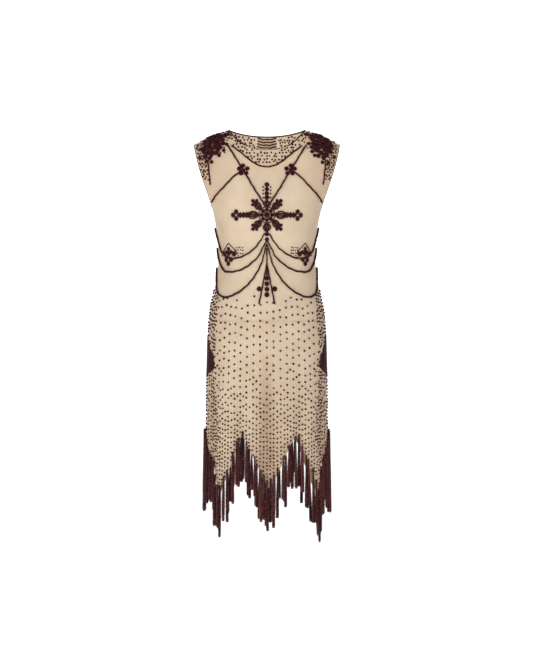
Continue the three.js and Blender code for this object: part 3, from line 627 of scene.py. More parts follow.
@dataclass(frozen=True)
class NetCloth:
    """Fine warm beige net over plain cloth, with shade painted into its colour. The skirt's also shows the
    threads that carry its beads.
    """

    part: Part
    pale: Colour = (0.632, 0.517, 0.385)
    deep: Colour = (0.56, 0.445, 0.32)
    # painted shade: the colour and strength of the shade painted over the cloth in fold hollows, at the
    # sides and low in the middle
    hollow: Colour = (0.3, 0.165, 0.095)
    hollow_strength: float = 0.6
    sewing_thread: Colour = (0.4, 0.26, 0.15)
    sewing_strength: float = 0.45
    net_thread: Colour = (0.76, 0.61, 0.44)
    net_strength: float = 0.3
    mesh_size: float = 1.6
    roughness: float = 0.82

    def material(self) -> bpy.types.Material:
        """Builds the cloth's material on the piece's own UV map, whose unit is 100 millimetres.

        Returns:
            The material.
        """
        material, nodes, link, shader = new_material(f"net_{self.part.value}")
        uv = nodes.new("ShaderNodeUVMap")
        uv.uv_map = "cut"
        turned = nodes.new("ShaderNodeMapping")
        turned.inputs["Rotation"].default_value[2] = math.radians(45)
        link(uv.outputs["UV"], turned.inputs["Vector"])
        mesh = nodes.new("ShaderNodeTexVoronoi")
        mesh.feature = "DISTANCE_TO_EDGE"
        mesh.inputs["Scale"].default_value = UV_UNIT / self.mesh_size
        mesh.inputs["Randomness"].default_value = 0.25
        link(turned.outputs["Vector"], mesh.inputs["Vector"])
        thread = self._ramp(nodes, ((0.03, (1, 1, 1)), (0.16, (0, 0, 0))))
        link(mesh.outputs["Distance"], thread.inputs["Fac"])
        mottle = nodes.new("ShaderNodeTexNoise")
        mottle.inputs["Scale"].default_value = 1.4
        mottle.inputs["Detail"].default_value = 4
        link(uv.outputs["UV"], mottle.inputs["Vector"])
        colour = self._ramp(nodes, ((0.3, self.deep), (0.7, self.pale)))
        link(mottle.outputs["Fac"], colour.inputs["Fac"])
        # painted shade: the mesh attribute read here says how much painted shade the cloth's colour takes
        depth = nodes.new("ShaderNodeAttribute")
        depth.attribute_name = "hollow"
        plain, shade = colour.outputs["Color"], depth.outputs["Fac"]
        ground = self._mix(nodes, link, plain, self.hollow, shade, self.hollow_strength)
        if self.part is Part.SKIRT:
            lines = self._sewing_threads(nodes, link, uv)
            ground = self._mix(nodes, link, ground, self.sewing_thread, lines, self.sewing_strength)
        net = thread.outputs["Color"]
        ground = self._mix(nodes, link, ground, self.net_thread, net, self.net_strength)
        link(ground, shader.inputs["Base Color"])
        bump = nodes.new("ShaderNodeBump")
        bump.inputs["Strength"].default_value = 0.25
        bump.inputs["Distance"].default_value = 0.0003
        link(thread.outputs["Color"], bump.inputs["Height"])
        link(bump.outputs["Normal"], shader.inputs["Normal"])
        shader.inputs["Roughness"].default_value = self.roughness
        shader.inputs["Subsurface Weight"].default_value = 0.5
        shader.inputs["Subsurface Radius"].default_value = (1.0, 0.85, 0.7)
        shader.inputs["Subsurface Scale"].default_value = 0.002
        shader.inputs["Sheen Weight"].default_value = 0.12
        shader.inputs["Sheen Roughness"].default_value = 0.45
        shader.inputs["Specular IOR Level"].default_value = 0.2
        return material

    def _sewing_threads(
        self, nodes: bpy.types.Nodes, link: Callable, uv: bpy.types.Node
    ) -> bpy.types.NodeSocket:
        """Bright where one of the skirt's upright sewing threads lies.

        Args:
            nodes: The material's nodes.
            link: The function that links two sockets.
            uv: The node that reads the piece's UV map.

        Returns:
            The socket with the brightness.
        """
        lines = nodes.new("ShaderNodeTexWave")
        lines.wave_type = "BANDS"
        lines.bands_direction = "X"
        waves_per_unit = 1 / (math.radians(THREAD_PITCH) * UV_PER_RADIAN)
        lines.inputs["Scale"].default_value = 2 * math.pi * waves_per_unit / WAVE_TEXTURE_RATE
        lines.inputs["Distortion"].default_value = 0.3
        lines.inputs["Detail"].default_value = 1
        lines.inputs["Phase Offset"].default_value = math.pi
        link(uv.outputs["UV"], lines.inputs["Vector"])
        line = self._ramp(nodes, ((0.96, (0, 0, 0)), (0.995, (1, 1, 1))))
        link(lines.outputs["Fac"], line.inputs["Fac"])
        return line.outputs["Color"]

    @staticmethod
    def _ramp(nodes: bpy.types.Nodes, stops: Sequence[tuple[float, Colour]]) -> bpy.types.Node:
        """A colour ramp with two stops.

        Args:
            nodes: The material's nodes.
            stops: Positions and colours.

        Returns:
            The ramp's node.
        """
        ramp = nodes.new("ShaderNodeValToRGB")
        for element, (position, colour) in zip(ramp.color_ramp.elements, stops):
            element.position = position
            element.color = (*colour, 1)
        return ramp

    @staticmethod
    def _mix(
        nodes: bpy.types.Nodes,
        link: Callable,
        base: bpy.types.NodeSocket,
        over: Colour,
        mask: bpy.types.NodeSocket,
        strength: float,
    ) -> bpy.types.NodeSocket:
        """Lays a colour over another where a mask is bright.

        Args:
            nodes: The material's nodes.
            link: The function that links two sockets.
            base: The colour below.
            over: The colour on top.
            mask: Where the top one goes.
            strength: How much of it shows where the mask is full.

        Returns:
            The socket with the mixed colour.
        """
        scaled = nodes.new("ShaderNodeMath")
        scaled.operation = "MULTIPLY"
        scaled.inputs[1].default_value = strength
        link(mask, scaled.inputs[0])
        mix = nodes.new("ShaderNodeMix")
        mix.data_type = "RGBA"
        link(scaled.outputs[0], mix.inputs["Factor"])
        link(base, mix.inputs["A"])
        mix.inputs["B"].default_value = (*over, 1)
        return mix.outputs["Result"]


@dataclass(frozen=True)
class GlassBeads:
    """Dark glass beads whose colour varies a little from bead to bead."""

    name: str
    dark: Colour
    light: Colour
    roughness: float
    shine: float = 0.16
    shine_tint: Colour = (1.0, 0.45, 0.42)
    grain: float = 900
    smoothest: float = 0.75
    roughest: float = 1.3

    def material(self) -> bpy.types.Material:
        """Builds the bead material, which reads each bead's own tone from the mesh.

        Returns:
            The material.
        """
        material, nodes, link, shader = new_material(self.name)
        tone = nodes.new("ShaderNodeAttribute")
        tone.attribute_name = "tone"
        ramp = nodes.new("ShaderNodeValToRGB")
        ramp.color_ramp.elements[0].color = (*self.dark, 1)
        ramp.color_ramp.elements[1].color = (*self.light, 1)
        link(tone.outputs["Fac"], ramp.inputs["Fac"])
        link(ramp.outputs["Color"], shader.inputs["Base Color"])
        grain = nodes.new("ShaderNodeTexNoise")
        grain.inputs["Scale"].default_value = self.grain
        place = nodes.new("ShaderNodeTexCoord")
        link(place.outputs["Object"], grain.inputs["Vector"])
        spread = nodes.new("ShaderNodeMapRange")
        spread.inputs["To Min"].default_value = self.roughness * self.smoothest
        spread.inputs["To Max"].default_value = self.roughness * self.roughest
        link(grain.outputs["Fac"], spread.inputs["Value"])
        link(spread.outputs["Result"], shader.inputs["Roughness"])
        shader.inputs["Specular IOR Level"].default_value = self.shine
        shader.inputs["Specular Tint"].default_value = (*self.shine_tint, 1)
        return material


def new_material(name: str) -> tuple[bpy.types.Material, bpy.types.Nodes, Callable, bpy.types.Node]:
    """Starts a node material.

    Args:
        name: The material's name.

    Returns:
        The material, its nodes, the function that links two sockets, and the main shader.
    """
    material = bpy.data.materials.new(name)
    material.use_nodes = True
    tree = material.node_tree
    return material, tree.nodes, tree.links.new, tree.nodes["Principled BSDF"]


@dataclass
class Sewing:
    """Puts pieces in the scene and keeps a list of what is sewn to each cloth."""

    sewn: dict[Cloth, list[bpy.types.Object]] = field(default_factory=dict)

    def place(
        self,
        name: str,
        mesh: bpy.types.Mesh,
        material: bpy.types.Material,
        slot: str,
        cloth: Cloth | None = None,
    ) -> bpy.types.Object:
        """Puts a finished mesh in the scene as a piece of the dress.

        Args:
            name: The piece's name.
            mesh: Its mesh, already in place.
            material: Its finish.
            slot: Not used.
            cloth: The cloth that it is sewn to, if it isn't one.

        Returns:
            The new object.
        """
        mesh.materials.append(material)
        piece = bpy.data.objects.new(name, mesh)
        bpy.context.collection.objects.link(piece)
        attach(piece, BODY)
        if cloth:
            self.sewn.setdefault(cloth, []).append(piece)
        log.info("%s: %d faces", name, len(mesh.polygons))
        return piece


@dataclass(frozen=True)
class Cut:
    """A cloth's size laid flat before sewing, in metres and square metres."""

    width: float
    length: float
    area: float


@dataclass
class ClothPanels:
    """The bodice and the skirt, front and back, each a thin sheet."""

    sewing: Sewing
    column_turn: float = 1.45
    rows_skirt: int = 60
    rows_bodice: int = 44
    rows_above: int = 32
    thickness: float = 0.9
    seam_gap: float = 0.05
    seam_dip: float = 0.12
    seam_shade: float = 0.4
    # how much shade is painted into the cloth's colour: full in a fold hollow this deep in millimetres, and
    # in the middle, at the sides and over the lower skirt
    fold_shaded: float = 11
    middle_shade: float = 0.62
    middle_spread: float = 15
    side_shades: tuple[float, float] = (0.6, 1.0)
    side_from: float = 32
    side_run: float = 44
    low_shade: float = 0.1
    low_run: float = 330
    pieces: dict[Cloth, bpy.types.Object] = field(default_factory=dict)

    def build(self) -> None:
        """Makes the four cloths and gives them their net."""
        finishes = {part: NetCloth(part).material() for part in Part}
        for side in Side:
            for part in Part:
                mesh = self._mesh(side, part)
                name = f"{part.value}_{side.label}"
                piece = self.sewing.place(name + "_cloth", mesh, finishes[part], "net_cloth")
                solid = piece.modifiers.new("thickness", "SOLIDIFY")
                solid.thickness = self.thickness * MM
                solid.offset = -1
                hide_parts(name)
                self.pieces[side, part] = piece

    def declare(self) -> None:
        """Looks up what is sewn to each cloth, and does nothing more with it."""
        for cloth, piece in self.pieces.items():
            sewn = self.sewing.sewn.get(cloth, [])
            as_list(sewn)

    def _turns(self, side: Side) -> list[float]:
        """Turns of the columns from one side to the other, with one at each corner of the hem and neck.

        Args:
            side: The panel.

        Returns:
            The turns in degrees, in rising order.
        """
        neck = SHAPE.neck_turn(side)
        marks = sorted([mark.turn for mark in HEM[side]] + [-neck, neck])
        turns: list[float] = []
        for start, end in zip(marks, marks[1:]):
            count = max(1, round((end - start) / self.column_turn))
            turns += [blend(start, end, k / count) for k in range(count)]
        return turns + [SIDE_TURN]

    def _mesh(self, side: Side, part: Part) -> bpy.types.Mesh:
        """One cloth's outer face, laid over a flat grid.

        Args:
            side: The panel.
            part: The bodice or the skirt.

        Returns:
            The mesh, with its UV map and the painted shade at each point.
        """
        turns = self._turns(side)
        levels = [self._levels(side, part, turn) for turn in turns]
        across, up = len(turns) - 1, len(levels[0]) - 1
        shape = bmesh.new()
        bmesh.ops.create_grid(shape, x_segments=across, y_segments=up, size=1)
        cut = shape.loops.layers.uv.new("cut")
        hollow = shape.verts.layers.float.new("hollow")
        flat: dict[bmesh.types.BMVert, Place] = {}
        for vert in shape.verts:
            i = round((vert.co.x + 1) / 2 * across)
            j = round((vert.co.y + 1) / 2 * up)
            at_seam = j == (0 if part is Part.BODICE else up)
            at_shoulder = part is Part.BODICE and j == up
            vert.co = self._place(side, turns[i], levels[i][j], at_seam, at_shoulder) * MM
            flat[vert] = (math.radians(turns[i]) * UV_PER_RADIAN, levels[i][j] / UV_UNIT)
            # painted shade from the folds, the sides and the lower middle, with the waist seam's row
            # darkened as well
            seam = self.seam_shade if at_seam else 0.0
            vert[hollow] = min(self._hollow(side, turns[i], levels[i][j]) + seam, 1.0)
        for edge in shape.edges:
            edge.smooth = not edge.is_boundary
        for face in shape.faces:
            face.smooth = True
            for loop in face.loops:
                loop[cut].uv = flat[loop.vert]
        if side is Side.BACK:
            bmesh.ops.reverse_faces(shape, faces=shape.faces)
        mesh = bpy.data.meshes.new(f"{part.value}_{side.label}_cloth")
        shape.to_mesh(mesh)
        shape.free()
        return mesh

    def _hollow(self, side: Side, turn: float, level: float) -> float:
        """How much painted shade the cloth's colour takes at a place: in the hollows of folds, at the sides
        and low in the middle.

        Args:
            side: The panel.
            turn: Turn from its centre.
            level: The level.

        Returns:
            A share from 0 to 1.
        """
        fold = SHAPE.fold(SHAPE.angle(side, turn), level)
        low = smooth_step((LOWER_SKIRT - level) / self.low_run)
        middle = self.middle_shade * math.exp(-((turn / self.middle_spread) ** 2)) * low
        edge = blend(*self.side_shades, low) * smooth_step((abs(turn) - self.side_from) / self.side_run)
        return min(max(-fold / self.fold_shaded, 0.0) + middle + edge + self.low_shade * low, 1.0)

    def _levels(self, side: Side, part: Part, turn: float) -> list[float]:
        """Levels of one column's rows, from the bottom up.

        Args:
            side: The panel.
            part: The bodice or the skirt.
            turn: Turn from its centre.

        Returns:
            The levels.
        """
        if part is Part.SKIRT:
            hem = SHAPE.hem(side, "cloth", turn)
            return [blend(hem, WAIST_SEAM, k / self.rows_skirt) for k in range(self.rows_skirt + 1)]
        top = SHAPE.top(side, turn)
        below = [blend(WAIST_SEAM, ARMHOLE_FOOT, k / self.rows_bodice) for k in range(self.rows_bodice)]
        return below + [blend(ARMHOLE_FOOT, top, share) for share in eased_shares(self.rows_above)]

    def _place(self, side: Side, turn: float, level: float, at_seam: bool, at_shoulder: bool) -> Vector:
        """One point of the cloth, drawn to the seams at the side and on the shoulder.

        Args:
            side: The panel.
            turn: Turn from its centre.
            level: The level.
            at_seam: Whether it is on the waist seam.
            at_shoulder: Whether it is on the bodice's top row.

        Returns:
            The point in millimetres.
        """
        point = SHAPE.point(side, turn, level, -self.seam_dip if at_seam else 0.0)
        on_shoulder = at_shoulder and abs(turn) > SHAPE.neck_turn(side) - TINY
        if (abs(turn) == SIDE_TURN and level <= ARMHOLE_FOOT) or on_shoulder:
            point.y = 0
        point.y += side.value * self.seam_gap
        return point


class BeadWork:
    """Beads of one shape, sewn one by one into one mesh."""

    def __init__(self, name: str, sides: int = 6, rings: int = 4) -> None:
        """Makes the bead that is repeated.

        Args:
            name: The piece's name.
            sides: Sides round the bead.
            rings: Rings from end to end.
        """
        self.name = name
        self.whole = bmesh.new()
        self.bead = bpy.data.meshes.new(name + "_bead")
        one = bmesh.new()
        bmesh.ops.create_uvsphere(one, u_segments=sides, v_segments=rings, radius=FACET_ROOM)
        for face in one.faces:
            face.smooth = True
        one.to_mesh(self.bead)
        one.free()
        self.bead.attributes.new("tone", "FLOAT", "POINT")
        self.round = np.empty(len(self.bead.vertices) * 3, dtype=np.float32)
        self.bead.vertices.foreach_get("co", self.round)
        self.round = self.round.reshape(-1, 3)

    def sew(
        self, centre: Vector, axis: Vector, out: Vector, size: tuple[float, float, float], tone: float
    ) -> None:
        """Adds one bead.

        Args:
            centre: Its middle, in millimetres.
            axis: Direction of its length.
            out: Direction off the cloth.
            size: Half its length, half its width and half its height.
            tone: Its place between the finish's dark and light colours.
        """
        length = axis.normalized()
        width = out.cross(length).normalized()
        height = length.cross(width)
        frame = np.array([width * size[1], height * size[2], length * size[0]], dtype=np.float32)
        placed = (self.round @ frame + np.array(centre, dtype=np.float32)) * np.float32(MM)
        self.bead.vertices.foreach_set("co", placed.ravel())
        tones = np.full(len(self.round), tone, dtype=np.float32)
        self.bead.attributes["tone"].data.foreach_set("value", tones)
        self.whole.from_mesh(self.bead)

    def finished(self) -> bpy.types.Mesh:
        """The mesh of all that was sewn.

        Returns:
            The mesh, in metres.
        """
        mesh = bpy.data.meshes.new(self.name)
        self.whole.to_mesh(mesh)
        self.whole.free()
        bpy.data.meshes.remove(self.bead)
        return mesh


@dataclass
class Needle:
    """Sews beads on the cloth: strings along a route, single beads and small flowers."""

    work: BeadWork
    dice: random.Random
    inside: bool = False
    cloth: float = 0.9
    wander: float = 0.08
    wander_rate: float = 0.83
    dot_seat: float = 0.55
    dot_height: float = 0.75
    string_seat: float = 0.45
    string_length: float = 0.56
    petal: float = 0.28
    heart: float = 0.62
    heart_height: float = 0.46
    heart_seat: float = 0.34

    def _at(self, side: Side, turn: float, level: float, height: float) -> tuple[Vector, Vector]:
        """A point over the cloth and the direction off it, on the outer face or the inner one.

        Args:
            side: The panel.
            turn: Turn from its centre.
            level: The level.
            height: Distance off the cloth.

        Returns:
            The point in millimetres and the direction.
        """
        normal = SHAPE.normal(side, turn, level)
        if self.inside:
            return SHAPE.point(side, turn, level) - normal * (self.cloth + height), -normal
        return SHAPE.point(side, turn, level) + normal * height, normal

    def dot(self, side: Side, turn: float, level: float, radius: float) -> None:
        """Sews one round bead.

        Args:
            side: The panel.
            turn: Turn from its centre.
            level: The level.
            radius: The bead's radius.
        """
        centre, out = self._at(side, turn, level, radius * self.dot_seat)
        size = (radius, radius, radius * self.dot_height)
        self.work.sew(centre, Vector((0, 0, 1)), out, size, self.dice.random())

    def string(self, side: Side, line: Sequence[Place], cord: Cord) -> None:
        """Sews a string of beads along a line, each a little to one side of it.

        Args:
            side: The panel.
            line: Turns and levels along it.
            cord: The beads' width and spacing.
        """
        points = [self._at(side, turn, level, cord.width * self.string_seat) for turn, level in line]
        beads = list(self.spaced(points, cord.pitch))
        for k, (centre, axis, out) in enumerate(beads):
            from_middle = abs(2 * k / len(beads) - 1)
            share = blend(cord.middle, 1.0, smooth_step(from_middle * 1.8))
            half = cord.width / 2 * share * self.dice.uniform(0.86, 1.1)
            drift = self.wander * cord.width * math.sin(self.wander_rate * k + len(beads))
            aside = out.cross(axis).normalized() * drift
            size = (cord.pitch * self.string_length, half, half)
            self.work.sew(centre + aside, axis, out, size, self.dice.random())

    @staticmethod
    def spaced(
        points: Sequence[tuple[Vector, Vector]], pitch: float
    ) -> Iterable[tuple[Vector, Vector, Vector]]:
        """Even places along a line of points, with the direction along and the one off the cloth.

        Args:
            points: Points, each with the direction off the cloth.
            pitch: The spacing.

        Returns:
            Each place with its two directions.
        """
        carried = pitch / 2
        for (start, out), (end, _) in zip(points, points[1:]):
            run = end - start
            length = run.length
            while carried < length:
                yield start + run * (carried / length), run, out
                carried += pitch
            carried -= length

    def flower(
        self, side: Side, turn: float, level: float, radius: float, petals: int = 8, lift: float = 0.0
    ) -> None:
        """Sews a large round bead with a ring of small ones.

        Args:
            side: The panel.
            turn: Turn from its centre.
            level: The level.
            radius: The flower's outer radius.
            petals: Beads in the ring.
            lift: Its height over the cloth, on other beads.
        """
        centre, out = self._at(side, turn, level, lift)
        across = Vector((0, 0, 1)).cross(out).normalized()
        up = out.cross(across)
        small = radius * self.petal
        dome = (radius * self.heart, radius * self.heart, radius * self.heart_height)
        self.work.sew(centre + out * radius * self.heart_seat, up, out, dome, self.dice.random() * 0.3)
        start = self.dice.random() * math.pi
        for i in range(petals):
            turned = start + 2 * math.pi * i / petals
            away = across * math.cos(turned) + up * math.sin(turned)
            place = centre + away * (radius - small * 1.1) + out * small * 0.9
            self.work.sew(place, away, out, (small * 1.2, small * 1.1, small), self.dice.uniform(0.2, 1))


def curve_through(rows: Sequence[Place], step: float) -> list[Place]:
    """Even steps along a smooth curve through a few points.

    Args:
        rows: The points.
        step: The longest step.

    Returns:
        Points along the curve, both ends included.
    """

    def on_span(i: int, t: float) -> np.ndarray:
        """A point of one span of the curve.

        Args:
            i: The row that the span starts at.
            t: How far along the span, from 0 to 1.

        Returns:
            The point.
        """
        p = [np.array(rows[min(max(i + k, 0), len(rows) - 1)], dtype=float) for k in (-1, 0, 1, 2)]
        rise, leave = (p[2] - p[0]) / 2, (p[3] - p[1]) / 2
        return (
            (2 * p[1] - 2 * p[2] + rise + leave) * t**3
            + (-3 * p[1] + 3 * p[2] - 2 * rise - leave) * t**2
            + rise * t
            + p[1]
        )

    spans = [on_span(i, k / CURVE_STEPS) for i in range(len(rows) - 1) for k in range(CURVE_STEPS)]
    fine = np.array([*spans, np.array(rows[-1], float)])
    runs = np.concatenate([[0], np.cumsum(np.linalg.norm(np.diff(fine, axis=0), axis=1))])
    count = max(2, math.ceil(runs[-1] / step))
    at = np.linspace(0, runs[-1], count + 1)
    return list(zip(np.interp(at, runs, fine[:, 0]), np.interp(at, runs, fine[:, 1])))


def route(side: Side, rows: Sequence[Row], hand: int = 1) -> list[Place]:
    """A route on one panel through a table's rows.

    Args:
        side: The panel.
        rows: Shares of the half width and levels.
        hand: 1 for the viewer's right, -1 for the left.

    Returns:
        Turns and levels along it.
    """
    step = 3.0
    scale = math.radians(SHAPE.girth("half", ROUTE_LEVEL))
    flat = [(hand * SHAPE.turn(side, share, level) * scale, level) for share, level in rows]
    return [(x / scale, level) for x, level in curve_through(flat, step)]


def mirrored_route(side: Side, rows: Sequence[Row]) -> list[Place]:
    """A route joined at the centre to its own mirror image.

    Args:
        side: The panel.
        rows: Shares of the half width and levels, for the right half.

    Returns:
        Turns and levels, from the left to the right.
    """
    right = route(side, rows)
    if abs(right[0][0]) > TINY:
        right.reverse()
    return [(-turn, level) for turn, level in reversed(right[1:])] + right


@dataclass
class Trimmings:
    """Everything sewn over the cloth apart from the fringe and the scattered beads."""

    sewing: Sewing
    material: bpy.types.Material
    edging_material: bpy.types.Material
    star_level: float = -234.0
    finial_level: float = -160.0
    drop_level: float = -434.0
    neck_columns: int = 120
    neck_pitch: float = 2.4
    neck_length: float = 1.34
    neck_half: float = 2.3
    fine_half: float = 0.8
    fine_reach: float = 58
    armhole_rows: int = 70
    armhole_pitch: float = 2.5
    armhole_bead: tuple[float, float, float] = (1.4, 1.35, 1.35)
    sink: float = 0.4

    def build(self) -> None:
        """Makes each trimming as a piece of its own."""
        self._neck_binding()
        self._armhole_bindings()
        self._cords()
        self._chest()
        self._star()
        self._finial()
        self._drop()
        self._shoulders()
        self._hips()

    @staticmethod
    def _needle(name: str, seed: int) -> Needle:
        """A needle that starts a new piece."""
        return Needle(BeadWork(name), random.Random(seed))

    def _done(self, needle: Needle, cloth: Cloth, *nodes: str) -> None:
        """Finishes the piece on a needle, which stands for some of the solids.

        Args:
            needle: The needle that sews the piece.
            cloth: The cloth that it is sewn to.
            nodes: The solids that it stands for.
        """
        work = needle.work
        piece = self.sewing.place(work.name, work.finished(), self.material, "beadwork", cloth)
        if nodes:
            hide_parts(*nodes)

    def _neck_binding(self) -> None:
        """The narrow beaded binding of the neck, finer round the low middle of the front."""
        work, dice = BeadWork("neck_binding"), random.Random(3)
        front, back = SHAPE.neck_turn(Side.FRONT), SHAPE.neck_turn(Side.BACK)
        ring = [(Side.FRONT, turn) for turn in np.linspace(-front, front, self.neck_columns)]
        ring += [(Side.BACK, turn) for turn in np.linspace(back, -back, self.neck_columns)]
        points = [self._edge_point(side, turn, SHAPE.top(side, turn)) for side, turn in ring]
        points.append(points[0])
        for centre, axis, out in Needle.spaced(points, self.neck_pitch):
            fine = centre.y < 0 and abs(centre.x) < self.fine_reach
            half = self.fine_half if fine else self.neck_half
            tone = 1.0 if fine else dice.random() * 0.4
            work.sew(centre - out * self.sink, axis, out, (self.neck_length, half, half), tone)
        mesh = work.finished()
        piece = self.sewing.place(work.name, mesh, self.edging_material, "edging", FRONT_BODICE)
        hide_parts("neck_edging")

    def _armhole_bindings(self) -> None:
        """The narrow beaded bindings of the armholes."""
        for hand, name in ((1, "right"), (-1, "left")):
            work, dice = BeadWork(f"armhole_binding_{name}"), random.Random(4 + hand)
            points = []
            for side in Side:
                top = SHAPE.top(side, SIDE_TURN)
                levels = [blend(ARMHOLE_FOOT, top, share) for share in eased_shares(self.armhole_rows)]
                edge = [self._edge_point(side, hand * SIDE_TURN, level) for level in levels]
                points += edge if side is Side.FRONT else edge[::-1]
            for centre, axis, out in Needle.spaced(points, self.armhole_pitch):
                work.sew(centre - out * self.sink, axis, out, self.armhole_bead, dice.random())
            mesh = work.finished()
            piece = self.sewing.place(work.name, mesh, self.edging_material, "edging", FRONT_BODICE)
            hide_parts(f"armhole_edging_{name}")

    @staticmethod
    def _edge_point(side: Side, turn: float, level: float) -> tuple[Vector, Vector]:
        """A point on the cloth's edge and the direction off the cloth."""
        return SHAPE.point(side, turn, level), SHAPE.normal(side, turn, level)

    def _cords(self) -> None:
        """The yoke's cord, the festoons front and back, and the short lines by the armholes."""
        needle = self._needle("yoke_cord", 11)
        needle.string(Side.FRONT, mirrored_route(Side.FRONT, YOKE_LINE), YOKE_CORD)
        self._done(needle, FRONT_BODICE, "yoke_line")
        for seed, (level, rows) in enumerate(FESTOONS.items()):
            needle = self._needle(f"swag_{level}", 20 + seed)
            needle.string(Side.FRONT, mirrored_route(Side.FRONT, rows), FESTOON)
            if level == "upper":
                for hand in (1, -1):
                    self._waist_rosette(needle, hand)
            self._done(needle, FRONT_BODICE, f"festoon_{level}")
        for seed, (level, rows) in enumerate(BACK_FESTOONS.items()):
            needle = self._needle(f"swag_back_{level}", 30 + seed)
            needle.string(Side.BACK, mirrored_route(Side.BACK, rows), BACK_FESTOON)
            self._done(needle, BACK_BODICE, f"festoon_back_{level}")
        for side, cloth in ((Side.FRONT, FRONT_BODICE), (Side.BACK, BACK_BODICE)):
            needle = self._needle(f"armhole_lines_{side.label}", 40 + side.value)
            for hand in (1, -1):
                needle.string(side, route(side, ARMHOLE_LINE, hand), ARMHOLE_CORD)
            self._done(needle, cloth)

    @staticmethod
    def _around(needle: Needle, share: float, level: float, places: Iterable[Spot]) -> None:
        """Flowers at distances across and up from a place on the front, each with its radius.

        Args:
            needle: The needle that sews the piece.
            share: The place's share of the half width.
            level: Its level.
            places: The distances and the radii.
        """
        for dx, dz, radius in places:
            turn, z = SHAPE.beside(Side.FRONT, share, level, dx, dz)
            needle.flower(Side.FRONT, turn, z, radius)

    @staticmethod
    def _ring(count: int, radius: float, size: float) -> list[Spot]:
        """Flowers evenly round a circle, the first one at its top."""
        angles = [math.pi / 2 + 2 * math.pi * k / count for k in range(count)]
        return [(radius * math.cos(a), radius * math.sin(a), size) for a in angles]

    def _waist_rosette(self, needle: Needle, hand: int) -> None:
        """A row of flowers with three more below and a small peak of beads above.

        Args:
            needle: The needle that sews the piece.
            hand: 1 for the viewer's right, -1 for the left.
        """
        share, level = hand * 0.78, -334
        row = [(-18, -4, 7.2), (0, -2, 7.4), (18, -4, 7.2), (0, 9.5, 6.0), (-9.5, 1, 5.4), (9.5, 1, 5.4)]
        hung = [(-9, -19, 6.8), (9, -19, 6.8), (0, -30, 6.8)]
        self._around(needle, share, level, [*row, *hung])
        for lean in (-1, 1):
            ends = [SHAPE.beside(Side.FRONT, share, level, lean * x, z) for x, z in ((25, 2), (0, 26))]
            needle.string(Side.FRONT, ends, PEAK_CORD)
            for k in range(3):
                turn, z = SHAPE.beside(Side.FRONT, share, level, lean * (23 + 3.4 * k), 2 - 5 * k)
                needle.dot(Side.FRONT, turn, z, 1.7)
        for k in range(12):
            dx = 24 + 6 * (k % 4) + needle.dice.uniform(-1, 1)
            dz = 13 - 7.5 * (k // 4) + needle.dice.uniform(-1.5, 1.5)
            turn, z = SHAPE.beside(Side.FRONT, share, level, -hand * dx, dz)
            needle.dot(Side.FRONT, turn, z, 1.9)

    def _chest(self) -> None:
        """Three cords on each side of the chest, and the rosette where they meet."""
        for hand, name in ((1, "right"), (-1, "left")):
            needle = self._needle(f"chest_swags_{name}", 50 + hand)
            for rows in (SHOULDER_CORD, STAR_CORD, UNDERARM_CORD):
                needle.string(Side.FRONT, route(Side.FRONT, rows, hand), CHEST_CORD)
            share, level = SHOULDER_CORD[-1]
            self._around(needle, hand * share, level, [(0, 0, 5), *self._ring(5, 11.5, 6.5)])
            self._done(needle, FRONT_BODICE, f"chest_cords_{name}")

    def _star(self) -> None:
        """The breast star: a ring of flowers, eight filled leaves round it, and two long arms."""
        needle = self._needle("star_beads", 60)
        self._around(needle, 0, self.star_level, [(0, 0, 8.4), *self._ring(8, 14.2, 5.7)])
        circle = [self._spot(math.radians(a), 21.5, 0) for a in range(0, 361, 12)]
        needle.string(Side.FRONT, circle, STAR_RING)
        for degrees, (far, half) in STAR_LEAVES.items():
            tilt = math.radians(degrees)
            self._leaf(needle, tilt, 22.5, far, half)
            if degrees % 180 == 0:
                self._long_arm(needle, tilt, 60)
            elif degrees % 90:
                self._around_arm(needle, tilt, ((53.5, 0, 5.4), (46.5, 8, 4.6), (46.5, -8, 4.6)))
        self._around_arm(needle, -math.pi / 2, ((51, 0, 6.4), (65.5, 0, 6.2)))
        self._done(needle, FRONT_BODICE, "breast_star")

    def _spot(self, tilt: float, run: float, off: float) -> Place:
        """Turn and level at a distance from the star's centre along a tilted arm and off to its side.

        Args:
            tilt: The arm's angle, in radians.
            run: Distance along it.
            off: Distance to its side.

        Returns:
            The turn and the level.
        """
        dx = math.cos(tilt) * run - math.sin(tilt) * off
        dz = math.sin(tilt) * run + math.cos(tilt) * off
        return SHAPE.beside(Side.FRONT, 0, self.star_level, dx, dz)

    def _around_arm(self, needle: Needle, tilt: float, places: Iterable[Spot]) -> None:
        """Flowers at distances along an arm and off it, each with its radius.

        Args:
            needle: The needle that sews the piece.
            tilt: The arm's angle, in radians.
            places: The distances and the radii.
        """
        for run, off, radius in places:
            turn, z = self._spot(tilt, run, off)
            needle.flower(Side.FRONT, turn, z, radius, 7)

    def _leaf(self, needle: Needle, tilt: float, near: float, far: float, half: float) -> None:
        """A leaf along an arm, filled with strings of beads from its outline to its midrib.

        Args:
            needle: The needle that sews the piece.
            tilt: The arm's angle, in radians.
            near: Where it starts along the arm.
            far: Where it ends.
            half: Half its width.
        """
        for share in (-1.0, -0.5, 0.0, 0.5, 1.0):
            line = []
            for t in (k / 12 for k in range(13)):
                off = share * half * math.sin(math.pi * t ** 0.8)
                line.append(self._spot(tilt, blend(near, far, t), off))
            needle.string(Side.FRONT, line, LEAF_CORD if share else LEAF_MIDRIB)

